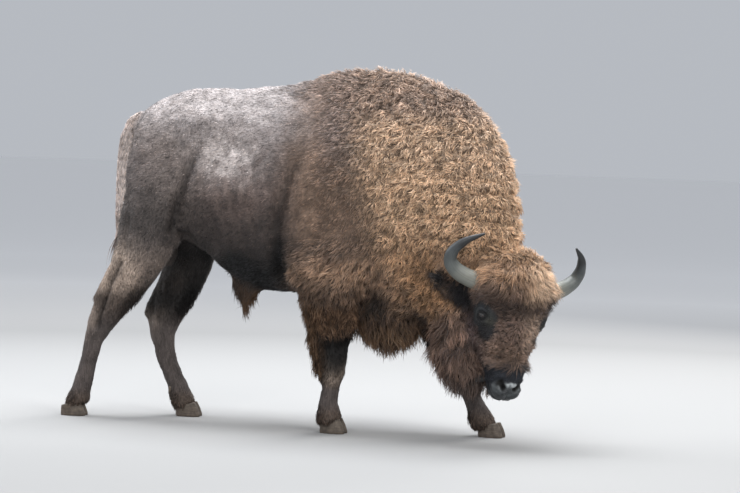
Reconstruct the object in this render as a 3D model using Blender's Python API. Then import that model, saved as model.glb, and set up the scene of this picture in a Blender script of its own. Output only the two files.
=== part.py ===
"""A still, life-size model of a European bison bull, walking, its head lowered and turned to its right.

Metres, +Z up. +X is forward along the floor, +Y is the animal's left. The flesh is modelled whole, out to the
tips of the coat: a trunk and a neck lofted along a spine that bends to the right, a lofted head, four lofted
legs and the muscle masses, melted into one skin. That body is then parted with thin cuts into the pieces that
a person would name. Horns, ears, hooves, tail and hanging mane are pieces of their own, fitted against it.
"""

import math

import bmesh
import bpy
import numpy as np
from mathutils import Matrix, Vector
from mathutils.bvhtree import BVHTree

# ---- driving sizes -----------------------------------------------------------------------------------
GAP = 0.0004  # half of each parting gap
FIT_GAP = 0.0009  # how far a fitted piece stays off the body
VOXEL = 0.011  # size of the cells in which the lofts are melted together
MELT_STEPS = 5  # smoothing steps after the melt
BLEND_STEPS = 45  # further smoothing of the broad masses of trunk and thighs
BODY_TRIANGLES = 2780
RING_POINTS = 20  # points round a loft's ring

# ---- the spine, seen from above: distance forward from the tail head, heading to the right in degrees
TAIL_HEAD = Vector((-1.245, 0.221, 0.0))
SPINE_HEADINGS = ((0.0, 9.0), (0.6, 13.0), (1.2, 18.0), (1.6, 24.0), (2.0, 36.0))

# ---- the trunk: distance along the spine, top, bottom, half width, height where it is widest, and how round
# the upper and the lower half are (2 is an ellipse, less is more pointed) -----------------------------
TRUNK = (
    (0.015, 1.500, 1.200, 0.105, 1.370, 2.0, 2.0),
    (0.060, 1.580, 1.080, 0.170, 1.350, 2.0, 2.0),
    (0.140, 1.638, 0.980, 0.220, 1.340, 2.0, 2.0),
    (0.280, 1.695, 0.920, 0.262, 1.330, 1.9, 2.0),
    (0.420, 1.712, 0.860, 0.285, 1.260, 1.9, 2.0),
    (0.560, 1.710, 0.750, 0.305, 1.180, 1.9, 2.1),
    (0.720, 1.728, 0.690, 0.330, 1.130, 1.8, 2.2),
    (0.900, 1.755, 0.680, 0.345, 1.120, 1.7, 2.2),
    (1.050, 1.815, 0.660, 0.345, 1.120, 1.55, 2.1),
    (1.200, 1.838, 0.620, 0.340, 1.150, 1.45, 2.0),
    (1.380, 1.840, 0.580, 0.335, 1.150, 1.45, 2.0),
    (1.520, 1.815, 0.560, 0.320, 1.150, 1.5, 2.0),
    (1.660, 1.765, 0.580, 0.300, 1.150, 1.6, 2.0),
    (1.780, 1.690, 0.640, 0.262, 1.140, 1.7, 2.0),
    (1.850, 1.500, 0.720, 0.200, 1.120, 2.0, 2.0),
)

# ---- the neck: a point on the nape, a point on the throat, half width --------------------------------
NECK = (
    ((0.05, -0.100, 1.800), (0.10, -0.100, 0.620), 0.270),
    ((0.375, -0.230, 1.760), (0.25, -0.160, 0.580), 0.285),
    ((0.565, -0.340, 1.590), (0.34, -0.260, 0.560), 0.270),
    ((0.665, -0.435, 1.360), (0.41, -0.340, 0.530), 0.230),
    ((0.705, -0.490, 1.130), (0.46, -0.390, 0.500), 0.180),
    ((0.71, -0.530, 0.960), (0.51, -0.430, 0.480), 0.140),
)

# ---- the head's own frame: between the horns, then how it is turned ----------------------------------
HORN_LINE = Vector((0.728, -0.585, 0.815))
HEAD_TURN = 66.0  # heading to the right of straight forward, degrees
HEAD_DROP = 84.0  # how far the nose points below the horizon
HEAD_TILT = 7.5  # right side up

# ---- the head: distance from the horn line towards the nose, front and back surface, half width ------
HEAD = (
    (-0.172, -0.020, -0.120, 0.070),
    (-0.140, 0.035, -0.170, 0.150),
    (-0.080, 0.080, -0.220, 0.203),
    (0.000, 0.105, -0.260, 0.224),
    (0.080, 0.100, -0.290, 0.205),
    (0.160, 0.082, -0.300, 0.186),
    (0.240, 0.068, -0.295, 0.163),
    (0.320, 0.060, -0.270, 0.136),
    (0.400, 0.055, -0.225, 0.110),
    (0.470, 0.046, -0.165, 0.090),
    (0.525, 0.030, -0.130, 0.080),
    (0.570, -0.006, -0.108, 0.062),
    (0.588, -0.032, -0.088, 0.036),
)

# ---- legs: centre, half length fore and aft, half width ----------------------------------------------
RIGHT_HIND = (
    ((-1.050, 0.070, 1.360), 0.120, 0.080),
    ((-1.080, 0.040, 1.180), 0.175, 0.110),
    ((-1.120, 0.030, 0.980), 0.172, 0.115),
    ((-1.180, 0.025, 0.810), 0.138, 0.100),
    ((-1.240, 0.050, 0.690), 0.110, 0.084),
    ((-1.312, 0.075, 0.575), 0.088, 0.066),
    ((-1.368, 0.095, 0.480), 0.068, 0.057),
    ((-1.402, 0.108, 0.390), 0.052, 0.045),
    ((-1.428, 0.120, 0.280), 0.047, 0.041),
    ((-1.452, 0.130, 0.175), 0.053, 0.047),
    ((-1.470, 0.135, 0.115), 0.051, 0.050),
    ((-1.488, 0.140, 0.045), 0.054, 0.054),
)
LEFT_HIND = (
    ((-1.020, 0.290, 1.360), 0.120, 0.080),
    ((-0.985, 0.325, 1.180), 0.175, 0.110),
    ((-0.955, 0.335, 0.980), 0.172, 0.115),
    ((-0.948, 0.330, 0.810), 0.143, 0.100),
    ((-0.985, 0.315, 0.680), 0.120, 0.085),
    ((-1.030, 0.305, 0.575), 0.102, 0.068),
    ((-1.062, 0.300, 0.480), 0.085, 0.060),
    ((-1.062, 0.295, 0.395), 0.064, 0.049),
    ((-1.040, 0.290, 0.300), 0.054, 0.042),
    ((-1.000, 0.285, 0.200), 0.052, 0.043),
    ((-0.970, 0.280, 0.140), 0.055, 0.049),
    ((-0.948, 0.275, 0.100), 0.052, 0.050),
    ((-0.930, 0.270, 0.045), 0.054, 0.054),
)
RIGHT_FORE = (
    ((-0.010, -0.240, 1.250), 0.120, 0.080),
    ((-0.080, -0.285, 1.030), 0.180, 0.110),
    ((-0.170, -0.300, 0.860), 0.185, 0.112),
    ((-0.190, -0.292, 0.710), 0.160, 0.103),
    ((-0.180, -0.275, 0.570), 0.136, 0.090),
    ((-0.187, -0.262, 0.460), 0.108, 0.077),
    ((-0.178, -0.252, 0.365), 0.090, 0.069),
    ((-0.175, -0.245, 0.300), 0.078, 0.062),
    ((-0.172, -0.240, 0.240), 0.050, 0.046),
    ((-0.177, -0.235, 0.190), 0.047, 0.042),
    ((-0.180, -0.232, 0.135), 0.053, 0.049),
    ((-0.175, -0.230, 0.095), 0.054, 0.051),
    ((-0.165, -0.228, 0.045), 0.056, 0.055),
)
LEFT_FORE = (
    ((0.300, -0.020, 1.250), 0.120, 0.080),
    ((0.255, 0.035, 1.030), 0.175, 0.110),
    ((0.255, 0.045, 0.860), 0.172, 0.110),
    ((0.300, 0.010, 0.700), 0.145, 0.097),
    ((0.360, -0.040, 0.560), 0.116, 0.081),
    ((0.420, -0.075, 0.450), 0.094, 0.070),
    ((0.467, -0.100, 0.362), 0.082, 0.065),
    ((0.503, -0.120, 0.285), 0.058, 0.051),
    ((0.530, -0.135, 0.220), 0.047, 0.042),
    ((0.560, -0.150, 0.155), 0.052, 0.048),
    ((0.585, -0.160, 0.108), 0.054, 0.050),
    ((0.615, -0.168, 0.045), 0.055, 0.055),
)

# ---- hair that hangs from the body, as solids out to the tips: centre, half length, half width -------
BRISKET_MANE = (
    ((0.08, -0.140, 0.700), 0.200, 0.150),
    ((0.10, -0.150, 0.600), 0.205, 0.140),
    ((0.11, -0.160, 0.500), 0.175, 0.110),
    ((0.125, -0.170, 0.430), 0.140, 0.080),
    ((0.130, -0.175, 0.370), 0.065, 0.040),
)
BEARD = (
    ((0.460, -0.420, 0.680), 0.120, 0.110),
    ((0.450, -0.440, 0.570), 0.145, 0.125),
    ((0.455, -0.480, 0.460), 0.150, 0.120),
    ((0.480, -0.520, 0.360), 0.135, 0.095),
    ((0.515, -0.555, 0.280), 0.105, 0.065),
    ((0.545, -0.575, 0.225), 0.055, 0.030),
)
SHEATH = (
    ((-0.610, 0.035, 0.760), 0.110, 0.065),
    ((-0.610, 0.035, 0.680), 0.085, 0.055),
    ((-0.622, 0.038, 0.610), 0.045, 0.035),
    ((-0.626, 0.040, 0.550), 0.028, 0.024),
    ((-0.628, 0.040, 0.495), 0.010, 0.010),
)
SCROTUM = (
    ((-1.060, 0.180, 1.000), 0.075, 0.080),
    ((-1.055, 0.180, 0.920), 0.070, 0.072),
    ((-1.050, 0.180, 0.840), 0.062, 0.064),
    ((-1.050, 0.180, 0.780), 0.035, 0.038),
)
TAIL = (
    ((-1.190, 0.212, 1.560), 0.030, 0.032),
    ((-1.245, 0.220, 1.515), 0.034, 0.034),
    ((-1.283, 0.226, 1.430), 0.032, 0.033),
    ((-1.296, 0.228, 1.300), 0.029, 0.030),
    ((-1.300, 0.229, 1.120), 0.027, 0.028),
    ((-1.296, 0.228, 0.960), 0.030, 0.031),
    ((-1.288, 0.227, 0.820), 0.036, 0.038),
    ((-1.280, 0.226, 0.700), 0.030, 0.032),
    ((-1.275, 0.225, 0.600), 0.010, 0.012),
)
TAIL_PARTING = 0.98

# ---- horns and ears, in the head's frame (right, towards the nose, out of the forehead), radius ------
HORN = (
    ((0.120, 0.035, -0.020), 0.048),
    ((0.210, 0.025, -0.055), 0.045),
    ((0.290, -0.005, -0.080), 0.041),
    ((0.343, -0.050, -0.075), 0.035),
    ((0.352, -0.100, -0.040), 0.029),
    ((0.318, -0.150, 0.020), 0.020),
    ((0.252, -0.190, 0.078), 0.006),
)
EAR_ROOT = (0.185, 0.085, -0.180)
RIGHT_EAR_TIP = (0.390, -0.010, -0.195)
LEFT_EAR_TIP = (-0.290, 0.020, -0.320)
EAR_WIDTH = 0.052
EAR_THICKNESS = 0.026

# ---- eyes --------------------------------------------------------------------------------------------
EYE_RADIUS = 0.021
EYE_PLACE = (0.30, 0.190, 0.020)  # in the head's frame, looked at from outside
EYE_DEPTH = 0.013  # centre of the ball below the coat

# ---- feet: place on the floor and heading to the right, degrees --------------------------------------
FEET = {
    "right_hind": (Vector((-1.500, 0.143, 0)), 10.0),
    "left_hind": (Vector((-0.918, 0.268, 0)), 10.0),
    "right_fore": (Vector((-0.155, -0.228, 0)), 18.0),
    "left_fore": (Vector((0.640, -0.172, 0)), 22.0),
}
CLAW_LENGTH = 0.132
CLAW_WIDTH = 0.053
CLEFT = 0.006  # between the two claws of a foot
CORONET_HEIGHT = 0.066
CORONET_TILT = 14.0

# ---- cuts that part the body: point and normal -------------------------------------------------------
LEG_CUTS = {
    "right_hind": (Vector((-1.215, 0.040, 0.745)), Vector((-0.35, 0.0, -1.0)), 0.200, 0.150),
    "left_hind": (Vector((-0.955, 0.325, 0.745)), Vector((0.10, 0.0, -1.0)), 0.220, 0.135),
    "right_fore": (Vector((-0.185, -0.290, 0.655)), Vector((0.0, 0.0, -1.0)), 0.220, 0.135),
    "left_fore": (Vector((0.372, -0.045, 0.530)), Vector((0.40, -0.28, -1.0)), 0.180, 0.130),
}

# ---- cuts across the legs: the piece above the cut, a point on it and its normal --------------------
LEG_JOINTS = {
    "right_hind": (
        ("gaskin", (-1.385, 0.100, 0.440), (0.35, 0, 1)),
        ("hind_cannon", (-1.455, 0.132, 0.150), (0.25, 0, 1)),
    ),
    "left_hind": (
        ("gaskin", (-1.066, 0.297, 0.430), (-0.1, 0, 1)),
        ("hind_cannon", (-0.985, 0.282, 0.168), (-0.45, 0, 1)),
    ),
    "right_fore": (
        ("forearm", (-0.175, -0.250, 0.330), (0, 0, 1)),
        ("fore_cannon", (-0.178, -0.233, 0.155), (0, 0, 1)),
    ),
    "left_fore": (
        ("forearm", (0.480, -0.107, 0.335), (-0.5, 0.2, 1)),
        ("fore_cannon", (0.565, -0.150, 0.150), (-0.5, 0.2, 1)),
    ),
}

# ---- fetlocks: the point that the dewclaws sit behind, and how far back they sit --------------------
FETLOCKS = {
    "right_hind": ((-1.470, 0.135, 0.148), 0.050),
    "left_hind": ((-0.985, 0.280, 0.155), 0.052),
    "right_fore": ((-0.180, -0.232, 0.142), 0.050),
    "left_fore": ((0.568, -0.152, 0.148), 0.052),
}

# ---- what each piece looks like: colour, roughness ---------------------------------------------------
LOOKS = {
    "coat": ((0.105, 0.070, 0.048), 0.85),
    "dark coat": ((0.030, 0.022, 0.017), 0.85),
    "mane": ((0.150, 0.085, 0.045), 0.90),
    "horn": ((0.060, 0.062, 0.055), 0.45),
    "hoof": ((0.045, 0.040, 0.036), 0.60),
    "eye": ((0.010, 0.007, 0.005), 0.08),
    "muzzle": ((0.022, 0.022, 0.025), 0.50),
}

# ---- small tools -------------------------------------------------------------------------------------
def smooth_rows(rows, times):
    """Rows of numbers read at more places along them, on a smooth curve that passes through each row."""
    rows = np.array(rows, float)
    knots = np.arange(len(rows))
    slopes = np.gradient(rows, axis=0)
    at = np.linspace(0, len(rows) - 1, (len(rows) - 1) * times + 1)
    low = np.minimum(at.astype(int), len(rows) - 2)
    u = (at - knots[low])[:, None]
    a, b, da, db = rows[low], rows[low + 1], slopes[low], slopes[low + 1]
    u2, u3 = u * u, u * u * u
    return (2 * u3 - 3 * u2 + 1) * a + (u3 - 2 * u2 + u) * da + (3 * u2 - 2 * u3) * b + (u3 - u2) * db


def spine_at(distance):
    """Place on the floor under the spine, the forward direction and the left direction there."""
    steps = 40
    stops, headings = zip(*SPINE_HEADINGS)
    place = TAIL_HEAD.copy()
    for i in range(steps):
        heading = math.radians(float(np.interp(distance * (i + 0.5) / steps, stops, headings)))
        place += Vector((math.cos(heading), -math.sin(heading), 0)) * (distance / steps)
    heading = math.radians(float(np.interp(distance, stops, headings)))
    forward = Vector((math.cos(heading), -math.sin(heading), 0))
    return place, forward, Vector((-forward.y, forward.x, 0))


def beside_spine(distance, left, height):
    """A point named by its distance along the spine, its distance to the left and its height."""
    place, _, side = spine_at(distance)
    return place + side * left + Vector((0, 0, height))


def head_axes():
    """The head's right, its way down to the nose, and its way out of the forehead."""
    turn, drop, tilt = (math.radians(a) for a in (HEAD_TURN, HEAD_DROP, HEAD_TILT))
    heading = Vector((math.cos(turn), -math.sin(turn), 0))
    level_right = Vector((-math.sin(turn), -math.cos(turn), 0))
    right = level_right * math.cos(tilt) + Vector((0, 0, math.sin(tilt)))
    up = Vector((0, 0, math.cos(tilt))) - level_right * math.sin(tilt)
    nose = heading * math.cos(drop) - up * math.sin(drop)
    out = heading * math.sin(drop) + up * math.cos(drop)
    return right, nose, out


def in_head(right, nose, out):
    """A point given in the head's own frame."""
    axes = head_axes()
    return HORN_LINE + axes[0] * right + axes[1] * nose + axes[2] * out


def ring(
    centre, side, up, half_width, up_size, down_size, up_power=2.0, down_power=2.0, count=RING_POINTS
):
    """Points of one cross-section, a superellipse whose upper and lower halves differ."""
    points = []
    for i in range(count):
        angle = 2 * math.pi * i / count
        c, s = math.cos(angle), math.sin(angle)
        power = up_power if s > 0 else down_power
        size = up_size if s > 0 else down_size
        across = math.copysign(abs(c) ** (2 / power), c) * half_width
        along = math.copysign(abs(s) ** (2 / power), s) * size
        points.append(centre + side * across + up * along)
    return points


def add_loft(bm, rings):
    """Joins rings of equal count with quads and closes both ends."""
    rows = [[bm.verts.new(p) for p in points] for points in rings]
    count = len(rows[0])
    for low, high in zip(rows, rows[1:]):
        for i in range(count):
            j = (i + 1) % count
            bm.faces.new((low[i], low[j], high[j], high[i]))
    bm.faces.new(rows[0][::-1])
    bm.faces.new(rows[-1])


def add_ellipsoid(bm, centre, radii, axes=None, detail=3):
    """An ellipsoid whose three radii lie along the given axes."""
    turn = Matrix(axes).transposed() if axes else Matrix.Identity(3)
    shape = (turn @ Matrix.Diagonal(Vector(radii))).to_4x4()
    matrix = Matrix.Translation(centre) @ shape
    bmesh.ops.create_icosphere(bm, subdivisions=detail, radius=1.0, matrix=matrix)


def add_bar(bm, start, end, start_radius, end_radius, count=12):
    """A tapered bar with rounded ends, such as a tendon."""
    start, end = Vector(start), Vector(end)
    along = (end - start).normalized()
    side = along.orthogonal().normalized()
    up = along.cross(side)
    rings = []
    for turn in (-60, 0):
        a = math.radians(turn)
        r = start_radius * math.cos(a)
        rings.append(ring(start + along * start_radius * math.sin(a), side, up, r, r, r, count=count))
    for turn in (0, 60):
        a = math.radians(turn)
        r = end_radius * math.cos(a)
        rings.append(ring(end + along * end_radius * math.sin(a), side, up, r, r, r, count=count))
    add_loft(bm, rings)


def add_path_loft(bm, rows, reference, times=4, count=RING_POINTS, spread=1.0):
    """A loft along (centre, half length, half width) rows; the half length lies along the reference."""
    flat = smooth_rows([(*centre, *sizes) for centre, *sizes in rows], times)
    centres = [Vector(row[:3]) for row in flat]
    rings = []
    for i, row in enumerate(flat):
        tangent = centres[min(i + 1, len(centres) - 1)] - centres[max(i - 1, 0)]
        tangent.normalize()
        fore = (reference - tangent * reference.dot(tangent)).normalized()
        side = tangent.cross(fore)
        long, wide = row[3] * spread, row[4] * spread
        rings.append(ring(centres[i], fore, side, long, wide, wide, count=count))
    add_loft(bm, rings)


def object_from(bm, name):
    bmesh.ops.recalc_face_normals(bm, faces=bm.faces)
    mesh = bpy.data.meshes.new(name)
    bm.to_mesh(mesh)
    bm.free()
    obj = bpy.data.objects.new(name, mesh)
    bpy.context.scene.collection.objects.link(obj)
    return obj


def settle(obj):
    """Bakes an object's modifiers into its mesh."""
    graph = bpy.context.evaluated_depsgraph_get()
    mesh = bpy.data.meshes.new_from_object(obj.evaluated_get(graph))
    obj.modifiers.clear()
    old = obj.data
    obj.data = mesh
    bpy.data.meshes.remove(old)
    return obj


def discard(obj):
    bpy.data.objects.remove(obj)


def boolean(obj, other, operation):
    cut = obj.modifiers.new(operation, "BOOLEAN")
    cut.object = other
    cut.operation = operation
    cut.solver = "EXACT"
    return settle(obj)


def duplicate(obj, name):
    copy = bpy.data.objects.new(name, obj.data.copy())
    bpy.context.scene.collection.objects.link(copy)
    return copy


def grown(obj, by):
    """A copy of the object, larger by a skin of the given depth."""
    copy = duplicate(obj, obj.name + "_grown")
    push = copy.modifiers.new("grow", "DISPLACE")
    push.strength = by
    push.mid_level = 0
    return settle(copy)


def largest_body(obj):
    """Drops the crumbs that a cut can leave, and keeps the largest connected body."""
    bm = bmesh.new()
    bm.from_mesh(obj.data)
    left = set(bm.verts)
    bodies = []
    while left:
        body, front = set(), [left.pop()]
        while front:
            vert = front.pop()
            body.add(vert)
            near = {e.other_vert(vert) for e in vert.link_edges} & left
            left -= near
            front += near
        bodies.append(body)
    keep = max(bodies, key=len)
    bmesh.ops.delete(bm, geom=[v for v in bm.verts if v not in keep], context="VERTS")
    bm.to_mesh(obj.data)
    bm.free()
    return obj


def fitted(obj, body_grown):
    """Cuts a piece back so that it meets the body without entering it."""
    return largest_body(boolean(obj, body_grown, "DIFFERENCE"))


def split(obj, point, normal, front_name, back_name):
    """Parts an object at a plane, with a thin gap. Returns the piece ahead and the one behind."""
    pieces = []
    obj.name = "whole"
    normal = Vector(normal).normalized()
    for name, way in ((front_name, 1), (back_name, -1)):
        bm = bmesh.new()
        bm.from_mesh(obj.data)
        geometry = [*bm.verts, *bm.edges, *bm.faces]
        place = Vector(point) + normal * GAP * way
        bmesh.ops.bisect_plane(
            bm, geom=geometry, dist=1e-6, plane_co=place, plane_no=normal,
            clear_inner=way > 0, clear_outer=way < 0,
        )
        rim = [e for e in bm.edges if e.is_boundary]
        caps = bmesh.ops.holes_fill(bm, edges=rim, sides=0)["faces"]
        bmesh.ops.triangulate(bm, faces=caps)
        pieces.append(object_from(bm, name))
    discard(obj)
    return pieces


# ---- the flesh, melted into one body -----------------------------------------------------------------
def add_trunk(bm):
    rings = []
    for distance, top, bottom, half_width, widest, upper, lower in smooth_rows(TRUNK, 3):
        place, _, side = spine_at(distance)
        centre = place + Vector((0, 0, widest))
        up = Vector((0, 0, 1))
        rings.append(ring(centre, side, up, half_width, top - widest, widest - bottom, upper, lower, 48))
    add_loft(bm, rings)


def add_trunk_masses(bm):
    """Hip points, haunches, shoulder blades and the point of each shoulder."""
    back_slope = Vector((0.30, 0.0, 0.95)).normalized()
    along = Vector((0.95, -0.15, -0.30)).normalized()
    axes = (along, back_slope.cross(along).normalized(), back_slope)
    for side in (-1, 1):
        stride = 0.03 * side
        add_ellipsoid(bm, beside_spine(0.40, 0.160 * side, 1.490), (0.16, 0.090, 0.130))
        add_ellipsoid(bm, beside_spine(0.24 + stride, 0.145 * side, 1.230), (0.20, 0.125, 0.290))
        add_ellipsoid(bm, beside_spine(0.13, 0.095 * side, 1.340), (0.085, 0.080, 0.180))
        add_ellipsoid(bm, beside_spine(1.30 + stride, 0.195 * side, 1.190), (0.25, 0.150, 0.360), axes)
        add_ellipsoid(bm, beside_spine(1.46 + 2 * stride, 0.200 * side, 0.980), (0.19, 0.135, 0.220))


def add_neck(bm):
    rows = smooth_rows([(*nape, *throat, width) for nape, throat, width in NECK], 4)
    napes = [Vector(row[:3]) for row in rows]
    throats = [Vector(row[3:6]) for row in rows]
    rings = []
    for i, row in enumerate(rows):
        low, high = max(i - 1, 0), min(i + 1, len(rows) - 1)
        along = napes[high] + throats[high] - napes[low] - throats[low]
        up = (napes[i] - throats[i]) / 2
        side = up.cross(along).normalized()
        size = up.length
        rings.append(ring((napes[i] + throats[i]) / 2, side, up.normalized(), row[6], size, size, 1.9, 2.2, 36))
    add_loft(bm, rings)


def add_head(bm):
    right, nose, out = head_axes()
    rings = []
    for along, front, back, half_width in smooth_rows(HEAD, 3):
        middle = (front + back) / 2
        half = (front - back) / 2
        rings.append(ring(in_head(0, along, middle), right, out, half_width, half, half, 2.3, 2.0, 32))
    add_loft(bm, rings)
    for side in (-1, 1):
        brow = in_head(0.138 * side, 0.165, -0.005)
        add_ellipsoid(bm, brow, (0.040, 0.065, 0.048), (right, nose, out))
        cheek = in_head(0.105 * side, 0.240, -0.190)
        add_ellipsoid(bm, cheek, (0.085, 0.160, 0.120), (right, nose, out))
        nostril = in_head(0.046 * side, 0.532, -0.020)
        add_ellipsoid(bm, nostril, (0.036, 0.045, 0.042), (right, nose, out))


def add_legs(bm):
    for rows in (RIGHT_HIND, LEFT_HIND, RIGHT_FORE, LEFT_FORE):
        add_path_loft(bm, rows, Vector((1, -0.2, 0)))
    for hock, tendon in (
        ((-1.386, 0.100, 0.600), (-1.268, 0.045, 0.830)),
        ((-1.142, 0.308, 0.530), (-1.040, 0.320, 0.770)),
    ):
        add_bar(bm, hock, tendon, 0.034, 0.034)
    for elbow in ((-0.315, -0.300, 0.800), (0.135, 0.050, 0.800)):
        add_ellipsoid(bm, Vector(elbow), (0.080, 0.060, 0.120))


def melted_body():
    bm = bmesh.new()
    for add in (add_trunk, add_trunk_masses, add_neck, add_head, add_legs):
        add(bm)
    body = object_from(bm, "body")
    melt = body.modifiers.new("melt", "REMESH")
    melt.mode = "VOXEL"
    melt.voxel_size = VOXEL
    settle(body)
    broad = body.vertex_groups.new(name="broad")
    for vert in body.data.vertices:
        height = min(max((vert.co.z - 0.62) / 0.25, 0), 1)
        before_head = min(max((0.50 - vert.co.x) / 0.15, 0), 1)
        broad.add([vert.index], height * before_head, "REPLACE")
    for name, steps, group in (("soften", MELT_STEPS, ""), ("blend", BLEND_STEPS, "broad")):
        smooth = body.modifiers.new(name, "SMOOTH")
        smooth.factor = 0.5
        smooth.iterations = steps
        smooth.vertex_group = group
    settle(body)
    triangles = sum(len(p.vertices) - 2 for p in body.data.polygons)
    thin = body.modifiers.new("thin", "DECIMATE")
    thin.ratio = BODY_TRIANGLES / triangles
    return settle(body)


# ---- eyes, horns, ears and hanging hair --------------------------------------------------------------
def eyeball(name, side, body):
    """An eyeball just under the surface of the coat, at the place looked for from outside."""
    tree = BVHTree.FromObject(body, bpy.context.evaluated_depsgraph_get())
    right, nose, out = head_axes()
    start = in_head(EYE_PLACE[0] * side, EYE_PLACE[1], EYE_PLACE[2])
    inward = (-right * side - out * 0.35).normalized()
    place, _, _, _ = tree.ray_cast(start, inward)
    centre = place + inward * EYE_DEPTH
    balls = []
    for part, radius, detail in ((name, EYE_RADIUS, 2), (name + "_socket", EYE_RADIUS + FIT_GAP, 3)):
        bm = bmesh.new()
        add_ellipsoid(bm, centre, (radius, radius, radius), detail=detail)
        balls.append(object_from(bm, part))
    return balls


def horn(name, side):
    rows = smooth_rows([(*place, radius) for place, radius in HORN], 2)
    places = [in_head(row[0] * side, row[1], row[2]) for row in rows]
    out = head_axes()[2]
    rings = []
    for i, row in enumerate(rows):
        along = places[min(i + 1, len(rows) - 1)] - places[max(i - 1, 0)]
        edge = along.cross(out).normalized()
        rings.append(ring(places[i], edge, edge.cross(along).normalized(), row[3], row[3], row[3], count=9))
    bm = bmesh.new()
    add_loft(bm, rings)
    return object_from(bm, name)


def ear(name, root, tip):
    """A leaf-shaped ear with a hollow in its front."""
    root, tip = in_head(*root), in_head(*tip)
    along = tip - root
    out = head_axes()[2]
    across = along.cross(out).normalized()
    face = across.cross(along).normalized()
    rings = []
    for share, wide, thick in (
        (0.0, 0.55, 0.9), (0.2, 0.80, 1.0), (0.45, 1.00, 1.0),
        (0.7, 0.86, 0.8), (0.88, 0.50, 0.6), (1.0, 0.14, 0.2),
    ):
        half_width, half = EAR_WIDTH * wide, EAR_THICKNESS * thick
        rings.append(ring(root + along * share, across, face, half_width, half * 0.5, half, count=10))
    bm = bmesh.new()
    add_loft(bm, rings)
    return object_from(bm, name)


def hanging(name, rows, reference=(1, -0.2, 0), times=1, count=12):
    bm = bmesh.new()
    add_path_loft(bm, rows, Vector(reference), times=times, count=count)
    return object_from(bm, name)


# ---- feet --------------------------------------------------------------------------------------------
def foot_frame(foot):
    place, heading = FEET[foot]
    heading = math.radians(heading)
    forward = Vector((math.cos(heading), -math.sin(heading), 0))
    return place, forward, Vector((-forward.y, forward.x, 0))


def coronet_plane(foot):
    """The slanting plane on which the skin of a foot meets its claws."""
    place, forward, _ = foot_frame(foot)
    tilt = math.radians(CORONET_TILT)
    normal = Vector((0, 0, math.cos(tilt))) - forward * math.sin(tilt)
    return place + Vector((0, 0, CORONET_HEIGHT)), normal


def claw(name, foot, side):
    """One half of a cloven hoof: a flat sole, a sloping front wall, and a slanting top."""
    place, forward, left = foot_frame(foot)
    plane_point, plane_normal = coronet_plane(foot)
    rings = []
    for share, long, wide, ahead in ((0.0, 0.97, 0.96, 0.0), (0.12, 1.0, 1.0, 0.0), (0.55, 0.90, 0.97, -0.006),
                                     (1.0, 0.76, 0.90, -0.014)):
        half_length, half_width = CLAW_LENGTH / 2 * long, CLAW_WIDTH / 2 * wide
        middle = place + left * side * (CLEFT + CLAW_WIDTH) / 2 + forward * (ahead + 0.006)
        level = []
        for point in ring(middle, forward, left, half_length, half_width, half_width, 2.3, 2.3, 12):
            reach = (point - middle).dot(forward) / half_length
            point -= left * side * 0.008 * max(reach, 0) ** 2
            top = (plane_point - point).dot(plane_normal) / plane_normal.z - GAP * 2
            level.append(point + Vector((0, 0, top * share)))
        rings.append(level)
    bm = bmesh.new()
    add_loft(bm, rings)
    return object_from(bm, name)


def dewclaw(name, foot, side, fetlock, back):
    """A small horny peg behind the fetlock."""
    _, forward, left = foot_frame(foot)
    root = Vector(fetlock) - forward * (back - 0.022) + left * side * 0.026
    tip = Vector(fetlock) - forward * (back + 0.018) + left * side * 0.030 - Vector((0, 0, 0.034))
    bm = bmesh.new()
    add_bar(bm, root, tip, 0.021, 0.012, 7)
    return object_from(bm, name)


# ---- parting the body --------------------------------------------------------------------------------
def leg_cut_plates():
    """Thin plates across the tops of the legs."""
    bm = bmesh.new()
    for place, normal, half_length, half_width in LEG_CUTS.values():
        normal = normal.normalized()
        side = normal.cross(Vector((1, 0, 0))).normalized()
        axes = (side.cross(normal), side, normal)
        shape = Matrix(axes).transposed() @ Matrix.Diagonal((half_length * 2, half_width * 2, GAP * 2))
        bmesh.ops.create_cube(bm, size=1.0, matrix=Matrix.Translation(place) @ shape.to_4x4())
    return object_from(bm, "plates")


def loose_bodies(obj):
    """Every connected body of a mesh as an object of its own, largest first."""
    bm = bmesh.new()
    bm.from_mesh(obj.data)
    bm.verts.ensure_lookup_table()
    left = set(range(len(bm.verts)))
    bodies = []
    while left:
        seed = min(left)
        left.discard(seed)
        body, front = {seed}, [seed]
        while front:
            vert = bm.verts[front.pop()]
            for edge in vert.link_edges:
                index = edge.other_vert(vert).index
                if index in left:
                    left.discard(index)
                    body.add(index)
                    front.append(index)
        bodies.append(body)
    bm.free()
    bodies.sort(key=len, reverse=True)
    pieces = []
    for body in bodies:
        bm = bmesh.new()
        bm.from_mesh(obj.data)
        bmesh.ops.delete(bm, geom=[v for v in bm.verts if v.index not in body], context="VERTS")
        pieces.append(object_from(bm, obj.name + "_piece"))
    discard(obj)
    return pieces


def nearest_piece(pieces, place):
    """The piece with a vertex closest to a place."""
    return min(pieces, key=lambda piece: min((v.co - place).length for v in piece.data.vertices))


def part_legs(body):
    plates = leg_cut_plates()
    boolean(body, plates, "DIFFERENCE")
    discard(plates)
    pieces = [p for p in loose_bodies(body) if len(p.data.vertices) > 60]
    legs = {}
    for foot, (place, _) in FEET.items():
        legs[foot] = nearest_piece(pieces, place)
    torso = nearest_piece(pieces, beside_spine(0.9, 0, 1.7))
    return torso, legs


def part_leg(foot, leg, cuts):
    """Parts a leg at its joints, and trims it on the plane of the coronet."""
    point, normal = coronet_plane(foot)
    leg, end = split(leg, point + normal * GAP, normal, "leg", "end")
    discard(end)
    for name, place, direction in cuts:
        upper, leg = split(leg, place, direction, name + "_" + foot, "leg")
    leg.name = "pastern_" + foot


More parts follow.
